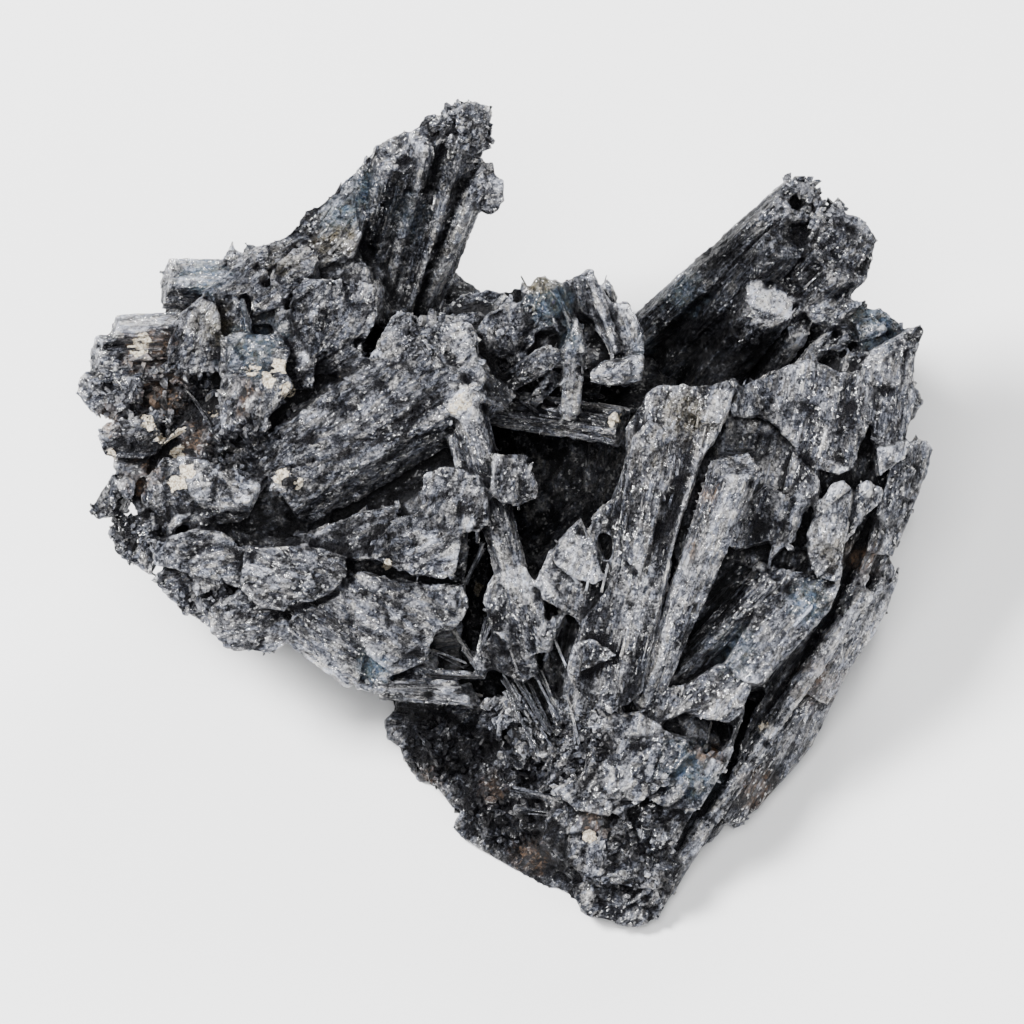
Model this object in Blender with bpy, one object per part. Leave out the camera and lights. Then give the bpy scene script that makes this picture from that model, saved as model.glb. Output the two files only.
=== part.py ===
"""A manganite crystal cluster: grown-together striated prisms on a broken back, lying as it rests. +Z is up.

Every crystal is placed in the frame of the showing face, in millimetres: x across it, y up it and z out of it,
towards the eye. The face leans back from level by FACE_TILT, and the floor cuts the broken back off flat.
"""

import math
import random

import bmesh
import bpy
from mathutils import Matrix, Vector

MM = 0.001
FACE_TILT = math.radians(25)
FACE_CENTRE = Vector((0.125, 0.123, 13.20)) * MM  # the face frame's origin in the row frame
FACE = Matrix.Translation(FACE_CENTRE) @ Matrix.Rotation(FACE_TILT, 4, "X") @ Matrix.Scale(MM, 4)
OUT_OF_FACE = Vector((0, 0, 1))

MANGANITE_COLOUR = (0.052, 0.054, 0.060, 1.0)
MANGANITE_METALLIC = 0.55
MANGANITE_ROUGHNESS = 0.42


def clear_scene():
    for obj in list(bpy.data.objects):
        bpy.data.objects.remove(obj)


def manganite_material():
    """Steel-grey to black, with a dull metallic lustre."""
    material = bpy.data.materials.new("manganite")
    material.use_nodes = True
    shader = material.node_tree.nodes["Principled BSDF"]
    shader.inputs["Base Color"].default_value = MANGANITE_COLOUR
    shader.inputs["Metallic"].default_value = MANGANITE_METALLIC
    shader.inputs["Roughness"].default_value = MANGANITE_ROUGHNESS
    return material


class Cluster:
    """Collects the closed shapes of single crystals, to be grown together into one solid."""

    def __init__(self):
        self.shapes = bpy.data.collections.new("single_crystals")
        bpy.context.scene.collection.children.link(self.shapes)

    def add(self, name, mesh):
        """Takes a closed bmesh drawn in the face frame and sets it in the row frame."""
        bmesh.ops.recalc_face_normals(mesh, faces=mesh.faces)
        mesh.transform(FACE)
        data = bpy.data.meshes.new(name)
        mesh.to_mesh(data)
        mesh.free()
        shape = bpy.data.objects.new(name, data)
        shape.hide_render = True
        shape.display_type = "WIRE"
        self.shapes.objects.link(shape)
        return shape

    def rings(self, name, rings):
        """A closed shape lofted through rings with the same number of points, capped at both ends."""
        mesh = bmesh.new()
        rows = [[mesh.verts.new(point) for point in ring] for ring in rings]
        count = len(rows[0])
        for near, far in zip(rows, rows[1:]):
            for i in range(count):
                j = (i + 1) % count
                mesh.faces.new((near[i], near[j], far[j], far[i]))
        mesh.faces.new(rows[0])
        mesh.faces.new(rows[-1])
        return self.add(name, mesh)

    def block(self, name, outline, z, lean=(0, 0), thick=6, back=0.8, drift=(0, 0), crown=0.3):
        """A crystal seen from its end, whose outline lies at height z and leans by a rise per mm across and up.

        Flat faces rise from the outline to a low crown. It goes thick deep into the mass, where it is back of its
        size and has drifted by drift.
        """
        middle = Vector((sum(p[0] for p in outline), sum(p[1] for p in outline))) / len(outline)

        def ring(scale, depth, shift=(0, 0)):
            points = []
            for corner in outline:
                arm = (Vector(corner) - middle) * scale
                height = z + lean[0] * arm.x + lean[1] * arm.y - depth
                points.append((middle.x + arm.x + shift[0], middle.y + arm.y + shift[1], height))
            return points

        mesh = bmesh.new()
        front = [mesh.verts.new(point) for point in ring(1, 0)]
        root = [mesh.verts.new(point) for point in ring(back, thick, drift)]
        top = mesh.verts.new((middle.x, middle.y, z + crown))
        for i in range(len(front)):
            j = (i + 1) % len(front)
            mesh.faces.new((front[i], front[j], root[j], root[i]))
            mesh.faces.new((top, front[j], front[i]))
        mesh.faces.new(root)
        return self.add(name, mesh)

    def prism(self, name, foot, tip, wide, deep, sides=6, roll=0, narrow=0.85, slant=(0, 0), wander=0):
        """A prism from foot to tip: wide is its half width across the face, deep its half thickness out of it.

        Narrow is the foot's size beside the tip's, and slant how far the end rises to its right and to its front.
        """
        foot, tip = Vector(foot), Vector(tip)
        along = (tip - foot).normalized()
        right = along.cross(OUT_OF_FACE).normalized()
        front = right.cross(along)

        def ring(centre, scale, cut):
            points = []
            for k in range(sides):
                angle = math.radians(roll) + math.tau * k / sides
                c, s = math.cos(angle), math.sin(angle)
                reach = right * wide * c * scale + front * deep * s * scale
                points.append(centre + reach + along * (cut[0] * c + cut[1] * s))
            return points

        middle = foot.lerp(tip, 0.5) + right * wander
        rings = [ring(foot, narrow, (0, 0)), ring(tip, 1, slant)]
        if wander:
            rings.insert(1, ring(middle, (1 + narrow) / 2, (0, 0)))
        return self.rings(name, rings)

    def hull(self, name, points):
        """The convex solid round some points."""
        mesh = bmesh.new()
        for point in points:
            mesh.verts.new(point)
        made = bmesh.ops.convex_hull(mesh, input=mesh.verts)
        inside = [v for v in made["geom_interior"] if isinstance(v, bmesh.types.BMVert)]
        bmesh.ops.delete(mesh, geom=inside, context="VERTS")
        return self.add(name, mesh)

    def druse(self, name, centre, spread, count, grain, seed):
        """A scatter of small stubby crystals over a patch, each turned its own way."""
        chance = random.Random(seed)
        for k in range(count):
            place = Vector([c + chance.uniform(-s, s) for c, s in zip(centre, spread)])
            size = grain * chance.uniform(0.7, 1.35)
            way = Vector((chance.uniform(-1, 1), chance.uniform(-1, 1), chance.uniform(0.2, 1.1))).normalized()
            foot = place - Vector((way.x * 0.7, way.y * 0.7, 2.2)) * size
            tip = place + way * size * 0.9
            slant = (chance.uniform(-0.3, 0.3) * size, chance.uniform(-0.3, 0.3) * size)
            self.prism(f"{name}_{k}", foot, tip, size, size * chance.uniform(0.6, 0.9),
                       sides=chance.choice((4, 4, 5)), roll=chance.uniform(0, 90), slant=slant)


def cores(cluster):
    """The mass that carries the crystals, kept a few millimetres under the showing face."""
    cluster.hull("bed", [
        (9.0, -28.4, -1.2), (5.0, -27.0, -1.6), (-3.0, -22.0, -4.4), (-7.2, -16.0, -7.0), (-11, -6, -11.5),
        (-15, 5, -17.5), (-13, 13, -22), (-4, 13.5, -24), (8, 13, -24), (20, 14, -24), (26, 10, -22),
        (28.0, 2, -15.5), (26.8, -7, -11.5), (21.5, -16.5, -7.5), (15.5, -22.0, -4.5),
        (-13, 9, -11), (-9, -6, -7), (-3, -12, -5.5), (8, 12.5, -13), (24, 12, -13), (26, 0, -9.5),
    ])
    cluster.hull("front_core", [
        (9.0, -28.6, -1.5), (5.6, -26.6, 0.2), (3.4, -22.0, 1.8), (4.5, -15.0, 3.0), (4.2, -8.0, 2.4),
        (9.0, -3.5, 3.8), (12.0, -9.0, 2.0), (14.0, -17.0, 2.6), (11.0, -25.0, 0.6),
        (3.5, -4.0, -6.0), (9.5, 4.5, -9.0), (-1.0, -16.0, -5.0), (14.0, 6.0, -10.0), (20.5, -16.0, -6.5),
        (13.5, -24.0, -3.5), (-3.0, -21.0, -4.6),
    ])
    cluster.hull("right_core", [
        (16.5, 7.5, 2.5), (24.5, 8.8, 3.0), (27.8, 9.0, 0.0), (28.0, 4.0, -0.5), (22.0, 1.5, 3.8), (19.5, -5.0, 2.4),
        (23.0, -5.5, 2.0), (18.0, -12.0, 2.0), (14.5, -12.0, 2.4), (9.0, -4.0, -2.0),
        (10.0, 5.5, 3.0), (10.0, 4.5, -9.0), (28.6, 3.0, -12.0), (27.4, 9.5, -12.0), (26.5, -6.0, -10.0),
        (21.8, -15.0, -7.0), (12.5, -12.0, -9.0),
    ])
    cluster.hull("left_core", [
        (-28.0, 10.5, -0.8), (-27.5, 5.0, -0.6), (-27.0, 1.0, -0.6), (-24.0, -3.0, 0.2), (-19.5, -8.0, 0.2),
        (-12.0, -8.5, 1.0), (-3.0, -7.0, 1.6), (-2.5, 0.5, 2.0), (-4.5, 10.0, 1.4), (-14.0, 11.5, 1.2),
        (-21.0, 13.5, 0.4), (-24.5, 14.5, -2.0),
        (-24.5, 9.5, -6.5), (-22.5, 1.0, -5.5), (-15.0, -5.5, -6.0), (-10.0, -9.5, -5.5), (-3.5, -12.0, -5.0),
        (-15.0, 13.0, -12.0), (-4.0, 12.5, -12.0), (-2.8, 2.0, -11.0), (-16.0, 5.0, -13.0),
    ])
    cluster.hull("crest_core", [
        (-6.0, 12.5, -1.8), (1.5, 14.2, -1.2), (6.5, 15.0, -1.0), (8.8, 13.2, -1.5), (8.6, 10.6, -1.5),
        (-3.0, 10.4, -1.5), (-9.0, 12.5, -12.0), (-7.0, 14.6, -8.0), (8.0, 13.8, -13.0), (9.0, 9.0, -14.0),
        (-3.0, 8.6, -14.0),
    ])
    cluster.hull("slope_core", [
        (-24.0, 17.2, -3.0), (-19.0, 17.6, -1.0), (-15.6, 19.4, -1.5), (-11.0, 21.5, -2.0), (-8.5, 18.0, -3.0),
        (-9.0, 13.5, 0.4), (-20.0, 13.5, 0.8), (-23.5, 14.6, -5.0), (-12.0, 17.5, -13.0), (-7.0, 15.0, -13.0),
        (-18.0, 13.0, -12.0), (-6.0, 13.0, -13.5),
    ])


def broken_edge(cluster):
    """Uneven lumps along the broken base, seen only from the back and the sides."""
    lumps = (
        (-15.5, 9.1, -17.6, 4.2), (-12.0, 15.2, -20.9, 3.8), (-5.5, 15.8, -20.9, 3.4), (0.5, 12.6, -18.8, 4.2),
        (6.0, 13.6, -20.3, 3.2), (16.9, 15.67, -20.2, 4.4), (18.5, 17.0, -20.4, 3.4), (23.5, 13.0, -19.0, 4.0),
        (26.4, 9.0, -16.6, 3.6), (27.3, 4.0, -14.2, 3.0), (-13.5, 1.0, -13.0, 4.0),
    )
    chance = random.Random(8)
    for k, (x, y, z, size) in enumerate(lumps):
        corners = []
        for _ in range(8):
            way = Vector([chance.gauss(0, 1) for _ in range(3)]).normalized()
            corners.append(Vector((x, y, z)) + way * size * chance.uniform(0.8, 1.15))
        cluster.hull(f"broken_lump_{k}", corners)


def tall_bundle(cluster):
    """The fluted prisms that stand up at the top left, with grainy, stepped ends."""
    cluster.prism("tall_left", (-11.2, 13.6, -8.0), (-7.3, 26.0, 3.0), 2.2, 1.7, 6, 18, 0.9, (1.1, -0.8))
    cluster.prism("tall_middle", (-9.0, 13.4, -7.6), (-5.2, 27.4, 4.2), 1.6, 1.7, 5, 20, 0.9, (0.6, -0.7))
    cluster.prism("tall_right", (-8.0, 12.8, -7.4), (-3.1, 28.1, 4.4), 1.75, 1.75, 6, 8, 0.9, (0.3, -0.8))
    cluster.prism("tall_side", (-7.4, 12.6, -8.6), (-2.6, 24.4, 1.2), 1.8, 1.9, 5, 60, 0.95, (0.2, -0.5))
    cluster.block("tall_crown", [
        (-4.4, 28.6), (-2.2, 29.5), (-1.2, 29.1), (-0.9, 28.4), (-1.5, 26.0), (-2.6, 26.2), (-3.3, 27.6),
    ], 4.9, (-0.1, 0.1), 3.2, 0.7)
    cluster.block("tall_lump", [
        (-1.6, 25.2), (-0.8, 25.2), (-0.6, 24.3), (-0.05, 23.9), (0.0, 22.4), (-0.4, 21.6), (-1.1, 21.2),
        (-2.0, 21.7), (-2.6, 23.6),
    ], 2.6, (0.2, 0.1), 3.4, 0.7, (-0.6, 0))
    cluster.prism("tall_back", (-10.4, 12.4, -13.0), (-5.2, 24.0, -3.4), 2.6, 2.2, 6, 12, 0.9, (0.3, 0.8))


def left_slope(cluster):
    """The crystals on the slope that runs from the tall prisms down to the left end."""
    cluster.block("ramp", [
        (-9.1, 25.4), (-9.5, 22.5), (-10.9, 18.6), (-13.9, 17.4), (-15.5, 20.1), (-14.4, 21.9),
        (-13.4, 22.2), (-9.8, 25.6),
    ], 0.9, (-0.12, 0.28), 6.5, 0.7, (1.5, -3.0))
    cluster.block("lens", [
        (-13.9, 19.2), (-13.3, 18.3), (-13.7, 17.2), (-16.2, 15.0), (-16.8, 15.5), (-16.9, 17.0),
        (-16.4, 18.1), (-15.2, 19.1),
    ], 2.5, (0.15, 0.35), 6, 0.75, (0.5, -2.0))
    cluster.block("slope_druse", [
        (-15.4, 20.2), (-15.1, 19.4), (-17.0, 17.5), (-18.1, 18.0), (-18.3, 18.9),
    ], 0.4, (0.1, 0.4), 5, 0.8, (1, -2.5))
    cluster.block("long_lath", [
        (-21.8, 15.9), (-20.6, 15.0), (-19.3, 15.4), (-17.0, 17.4), (-18.1, 19.0),
    ], 2.3, (-0.25, 0.35), 5, 0.8, (1.0, -2.0))
    cluster.block("short_lath", [
        (-18.1, 13.2), (-20.0, 12.9), (-21.4, 13.4), (-20.6, 15.0), (-19.2, 15.5), (-18.6, 14.9),
    ], 2.0, (0.3, 0.2), 5, 0.85)
    cluster.prism("thin_blade", (-18.0, 11.6, 1.0), (-18.7, 15.1, 3.1), 0.32, 0.5, 4, 0, 1.0)
    cluster.block("slope_wedge", [
        (-17.6, 16.5), (-16.8, 16.1), (-16.3, 14.9), (-18.0, 14.1), (-18.3, 15.9),
    ], 1.5, (-0.3, 0.3), 5, 0.85)
    cluster.block("brown_stub", [
        (-15.4, 14.8), (-15.2, 13.2), (-15.7, 12.6), (-16.6, 13.1), (-16.5, 14.3),
    ], 1.6, (0.3, 0.1), 5, 0.85)
    cluster.prism("upper_stub", (-18.5, 16.4, -0.4), (-24.4, 16.5, -0.2), 1.95, 2.2, 4, 4, 1.0, (-0.25, -0.3))
    cluster.block("fang", [
        (-19.5, 19.55), (-19.0, 18.3), (-19.6, 17.7), (-20.3, 18.3),
    ], 0.6, (0.2, 0.2), 4, 0.9, (0.4, -1.5))
    cluster.block("bead", [
        (-19.0, 18.9), (-18.2, 18.5), (-18.5, 17.9), (-19.1, 18.1),
    ], 0.6, (0, 0), 3, 0.9, (0.4, -1))
    cluster.block("flake_block", [
        (-9.1, 16.5), (-9.05, 14.3), (-9.9, 12.4), (-11.4, 12.6), (-13.4, 11.3), (-14.3, 12.6),
        (-15.3, 13.3), (-15.6, 14.9), (-15.1, 16.2), (-14.3, 17.0),
    ], 3.9, (-0.10, 0.22), 6, 0.8, (0, -1.0))
    cluster.block("wrinkled_block", [
        (-9.9, 11.0), (-10.9, 10.1), (-13.4, 9.9), (-13.6, 11.8), (-12.0, 12.3), (-10.4, 12.0),
    ], 2.9, (0.1, 0.35), 5, 0.9)
    cluster.block("grey_post", [
        (-15.8, 12.5), (-14.8, 12.9), (-13.8, 12.0), (-13.4, 10.4), (-13.7, 8.9), (-15.2, 8.8),
    ], 3.3, (0.25, 0.1), 6, 0.85)


def left_end(cluster):
    """The striated rods, blocks and small crystals of the left end."""
    cluster.prism("top_rod", (-21.5, 13.6, 0.6), (-28.1, 13.3, 0.2), 0.95, 1.3, 6, 10, 1.0, (-0.3, -0.4))
    cluster.prism("second_rod", (-22.5, 12.5, 0.8), (-29.2, 12.3, 0.0), 0.65, 1.0, 5, 15, 1.0, (0, -0.4))
    cluster.prism("third_rod", (-22.8, 11.8, 0.2), (-28.6, 11.8, -0.2), 0.6, 0.9, 4, 45, 1.0)
    cluster.prism("white_rod", (-23.0, 11.3, 1.2), (-27.0, 11.2, 1.2), 0.36, 0.7, 4, 40, 1.0)
    cluster.prism("knob", (-26.6, 11.0, -0.6), (-29.4, 11.2, -0.2), 1.15, 1.25, 7, 0, 1.1, (0, -0.3))
    cluster.prism("low_rod", (-23.0, 10.4, 0.0), (-28.6, 9.7, 0.2), 0.7, 1.0, 5, 30, 1.0)
    cluster.block("far_left_knob", [
        (-30.0, 10.4), (-30.55, 9.8), (-30.85, 8.6), (-29.2, 6.8), (-28.4, 8.0), (-28.8, 9.4),
    ], 0.6, (0.35, 0), 4.0, 0.7, (1.2, 0))
    cluster.block("rounded_block", [
        (-29.3, 5.6), (-28.8, 6.5), (-27.8, 6.9), (-25.8, 6.7), (-24.8, 6.2), (-24.5, 5.2), (-24.9, 4.2),
        (-26.0, 3.9), (-28.7, 4.1),
    ], 1.9, (0.12, 0.18), 5, 0.75, (0.8, 0))
    cluster.block("left_tooth", [
        (-28.1, 3.2), (-29.85, 0.3), (-29.3, -0.4), (-28.1, 0.0), (-27.6, 1.2),
    ], 1.0, (0.1, 0.1), 5, 0.75, (1.2, 0))
    cluster.block("rust_tooth", [
        (-27.2, 2.9), (-26.3, 2.5), (-26.5, 1.0), (-27.4, 1.2), (-27.9, 2.3),
    ], 1.7, (0.1, -0.2), 5, 0.85)
    cluster.block("shaded_tooth", [
        (-28.0, 3.9), (-25.4, 3.9), (-25.6, 2.7), (-26.6, 2.4), (-28.0, 2.8),
    ], 0.6, (0.1, -0.3), 5, 0.85)
    cluster.druse("left_druse", (-26.4, 8.4, 0.2), (2.3, 1.3, 0.7), 9, 0.85, 11)
    cluster.druse("hole_druse", (-22.6, 9.0, 0.4), (1.6, 0.8, 0.5), 4, 0.8, 12)
    cluster.druse("rim_druse", (-26.8, -1.4, 0.0), (0.9, 1.0, 0.6), 5, 0.8, 13)
    cluster.block("granular_block", [
        (-21.7, 15.6), (-20.6, 15.0), (-20.2, 12.8), (-20.4, 10.2), (-22.8, 9.9), (-24.1, 10.4),
        (-24.3, 11.8), (-23.4, 14.3),
    ], 3.1, (-0.18, 0.12), 6, 0.85)
    cluster.block("blue_block_top", [
        (-15.3, 11.7), (-15.7, 10.3), (-17.0, 9.9), (-20.5, 9.9), (-20.4, 12.6), (-19.4, 13.1),
        (-15.9, 12.8),
    ], 4.3, (-0.05, -0.45), 6, 0.9)
    cluster.block("blue_block_front", [
        (-20.3, 10.1), (-15.5, 10.4), (-15.0, 9.2), (-16.8, 7.0), (-17.0, 5.8), (-18.6, 5.6),
        (-20.2, 6.1), (-20.5, 8.0),
    ], 5.2, (0.05, 0.12), 7, 0.85)
    cluster.druse("ledge_druse", (-19.0, 4.6, 3.0), (2.2, 0.5, 0.4), 4, 0.7, 14)
    cluster.hull("wedge_crystal", [
        (-24.5, 4.2, 2.6), (-21.4, 3.9, 4.4), (-16.4, 3.9, 3.4), (-16.9, 2.4, 3.6), (-18.25, 0.95, 6.2),
        (-18.0, 0.3, 4.4), (-18.9, -0.6, 3.2), (-22.6, -0.8, 2.6), (-24.6, -0.3, 1.8), (-26.2, 0.8, 1.2),
        (-25.8, 2.6, 1.6), (-24.0, 3.0, -3), (-18.0, 3.0, -3), (-19.0, 0.2, -3), (-23.5, 0.4, -3),
    ])
    cluster.block("small_lath", [
        (-24.6, -0.9), (-23.2, 0.3), (-22.6, -0.1), (-23.9, -1.4),
    ], 3.2, (0, 0), 4, 0.9)
    cluster.druse("wedge_druse", (-15.8, 2.6, 3.4), (0.7, 1.2, 0.4), 3, 0.7, 15)


def lower_slab(cluster):
    """The rough slabs under the long dark crack, down to the overhanging lower left edge."""
    cluster.block("slab_left", [
        (-25.4, -1.9), (-22.0, -0.95), (-20.3, -1.2), (-19.2, -1.8), (-18.5, -3.4), (-18.8, -5.2),
        (-25.1, -3.6),
    ], 4.6, (0.10, 0.05), 7, 0.8, (0, 0.5))
    cluster.prism("white_peg", (-23.4, -2.4, 2.6), (-22.9, -2.35, 5.3), 0.55, 0.5, 4, 65, 1.0)
    cluster.prism("slab_rib", (-25.6, -1.75, 4.0), (-22.2, -2.5, 5.0), 0.2, 0.3, 4, 0, 1.0)
    cluster.block("slab_middle", [
        (-18.7, -2.0), (-16.5, -2.3), (-14.2, -1.95), (-12.6, -2.4), (-11.0, -3.0), (-11.3, -4.5),
        (-12.6, -5.8), (-15.8, -6.9), (-17.6, -6.6), (-18.9, -5.3),
    ], 5.3, (-0.02, 0.08), 7, 0.85)
    cluster.block("rim_upper", [
        (-28.1, -0.8), (-27.2, -0.3), (-25.7, -0.7), (-25.2, -1.9), (-25.1, -3.8), (-25.4, -4.4),
        (-27.3, -3.2),
    ], 2.0, (0.3, 0.0), 4, 0.75, (1.2, 0.8))
    cluster.block("rim_middle", [
        (-24.8, -4.0), (-23.0, -4.1), (-20.6, -4.9), (-20.1, -6.5), (-21.0, -8.1), (-23.4, -6.7),
        (-25.4, -4.7),
    ], 3.1, (0.12, 0.22), 5.5, 0.75, (1.2, 1.5))
    cluster.block("cracked_flake", [
        (-22.3, -4.3), (-20.7, -5.0), (-21.1, -5.6), (-21.9, -5.9), (-22.5, -5.2),
    ], 3.9, (0.1, 0.1), 4, 0.9)
    cluster.block("rim_bulge", [
        (-21.0, -6.5), (-18.9, -5.3), (-15.6, -7.4), (-15.6, -9.1), (-16.6, -9.9), (-19.8, -9.8),
        (-21.0, -8.6),
    ], 3.6, (0.0, 0.22), 6.5, 0.75, (1.0, 2.0))
    cluster.block("tail_prism", [
        (-15.3, -6.8), (-13.6, -6.6), (-12.4, -7.1), (-10.2, -9.8), (-10.0, -11.0), (-10.6, -12.2),
        (-11.6, -12.3), (-15.6, -9.2),
    ], 3.7, (0.1, 0.28), 7, 0.8, (1.0, 2.5))
    cluster.block("blue_facet", [
        (-9.2, -9.8), (-8.4, -10.9), (-8.3, -12.4), (-9.1, -12.9), (-10.8, -12.5), (-10.3, -9.9),
    ], 2.9, (0.25, 0.25), 6, 0.8, (0.8, 2.5))
    cluster.block("tail_mass", [
        (-2.5, -6.5), (-3.4, -8.0), (-5.1, -8.6), (-5.7, -10.5), (-8.0, -11.5), (-10.2, -9.7),
        (-13.6, -6.0), (-12.5, -4.5), (-10.4, -4.0), (-5.0, -5.0), (-3.2, -4.9),
    ], 4.4, (0.02, 0.10), 7.5, 0.85)
    cluster.block("pebble", [
        (-13.4, -4.4), (-13.1, -5.2), (-13.7, -6.0), (-14.6, -5.6), (-14.3, -4.6),
    ], 5.9, (0, 0), 3, 0.9)
    for k, (left, right, y, z, half) in enumerate((
            (-9.0, -1.4, -11.35, 1.6, 0.3), (-9.5, -3.6, -12.2, 2.3, 0.52), (-9.0, -2.7, -13.1, 1.8, 0.42),
            (-8.0, -3.4, -11.75, 1.2, 0.35))):
        cluster.prism(f"tail_rod_{k}", (left, y + 0.2, z - 0.6), (right, y - 0.12, z), half, half * 1.3, 5, 20, 1.0)
    cluster.block("tail_rib", [
        (-9.0, -11.4), (-7.0, -10.9), (-5.4, -11.4), (-5.0, -13.4), (-7.9, -13.2), (-8.8, -12.6),
    ], 1.9, (0.1, 0.2), 6, 0.9, (1.0, 2.5))


def barrel_and_plates(cluster):
    """The thickest prism, and the smooth plates and the long spine in front of it."""
    cluster.prism("barrel", (-16.2, 2.2, 1.2), (-2.6, 10.9, 2.6), 4.55, 4.0, 8, 12, 0.9, (0.9, -1.2))
    cluster.block("barrel_shoulder", [
        (-9.9, 11.1), (-8.2, 14.2), (-7.4, 14.6), (-6.7, 14.4), (-6.6, 13.7), (-4.5, 13.9), (-4.0, 12.4),
        (-4.6, 10.2), (-7.0, 9.2),
    ], 4.4, (0.02, -0.22), 7, 0.85)
    cluster.block("barrel_end", [
        (-2.9, 13.8), (-2.0, 13.3), (-1.95, 11.0), (-1.35, 9.8), (-1.7, 9.0), (-3.4, 8.4), (-4.9, 9.4),
        (-5.0, 11.5), (-4.2, 13.4),
    ], 4.8, (0.18, -0.15), 7, 0.85)
    cluster.druse("shoulder_druse", (-5.6, 12.6, 4.0), (1.6, 0.8, 0.3), 3, 0.7, 21)
    cluster.block("bright_flake", [
        (-4.9, 8.8), (-4.1, 9.4), (-2.7, 9.3), (-2.2, 6.9), (-2.9, 6.3), (-4.0, 7.1),
    ], 6.1, (-0.1, 0.25), 4.5, 0.9)
    cluster.prism("spine", (2.0, -10.0, 3.6), (-2.9, 8.4, 4.5), 1.45, 1.4, 6, 0, 0.95, (0.2, -0.4))
    cluster.block("upper_plate", [
        (-5.95, 2.9), (-4.3, 3.5), (-2.0, 2.9), (-1.2, 1.5), (-1.1, -0.6), (-1.9, -1.3), (-5.0, -0.7),
        (-6.2, 0.0), (-6.1, 0.7), (-5.5, 0.8), (-6.05, 1.6),
    ], 6.4, (0.02, 0.05), 3.2, 0.9)
    cluster.block("lower_plate", [
        (-3.0, -1.0), (-3.5, -4.0), (-4.4, -4.6), (-6.5, -4.4), (-9.6, -3.0), (-9.1, -1.5), (-7.7, -0.1),
        (-6.3, 0.1),
    ], 6.0, (0.06, 0.12), 4.5, 0.9)
    cluster.block("right_plate", [
        (-0.9, 4.3), (1.4, 4.5), (2.35, 2.1), (2.25, 1.2), (0.9, 0.6), (-0.3, 0.9), (-1.0, 1.5),
    ], 6.0, (0.05, -0.03), 2.4, 0.92)
    cluster.block("under_barrel", [
        (-16.6, -2.0), (-13.4, -0.9), (-10.6, 0.2), (-7.6, 0.9), (-7.4, -0.6), (-9.4, -3.2), (-12.6, -3.4),
    ], 4.2, (0.05, -0.15), 6, 0.85)
    cluster.block("left_cheek", [
        (-3.0, 6.0), (-2.2, 4.0), (-2.4, 2.4), (-3.6, 3.2), (-4.2, 5.4),
    ], 4.5, (0.3, 0.0), 5, 0.9)
    cluster.block("spine_foot", [
        (1.4, -3.6), (2.9, -6.9), (2.4, -8.8), (0.4, -9.4), (-1.2, -8.2), (-1.7, -6.0), (-1.0, -4.2),
    ], 5.1, (0.0, 0.12), 5.5, 0.9)


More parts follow.
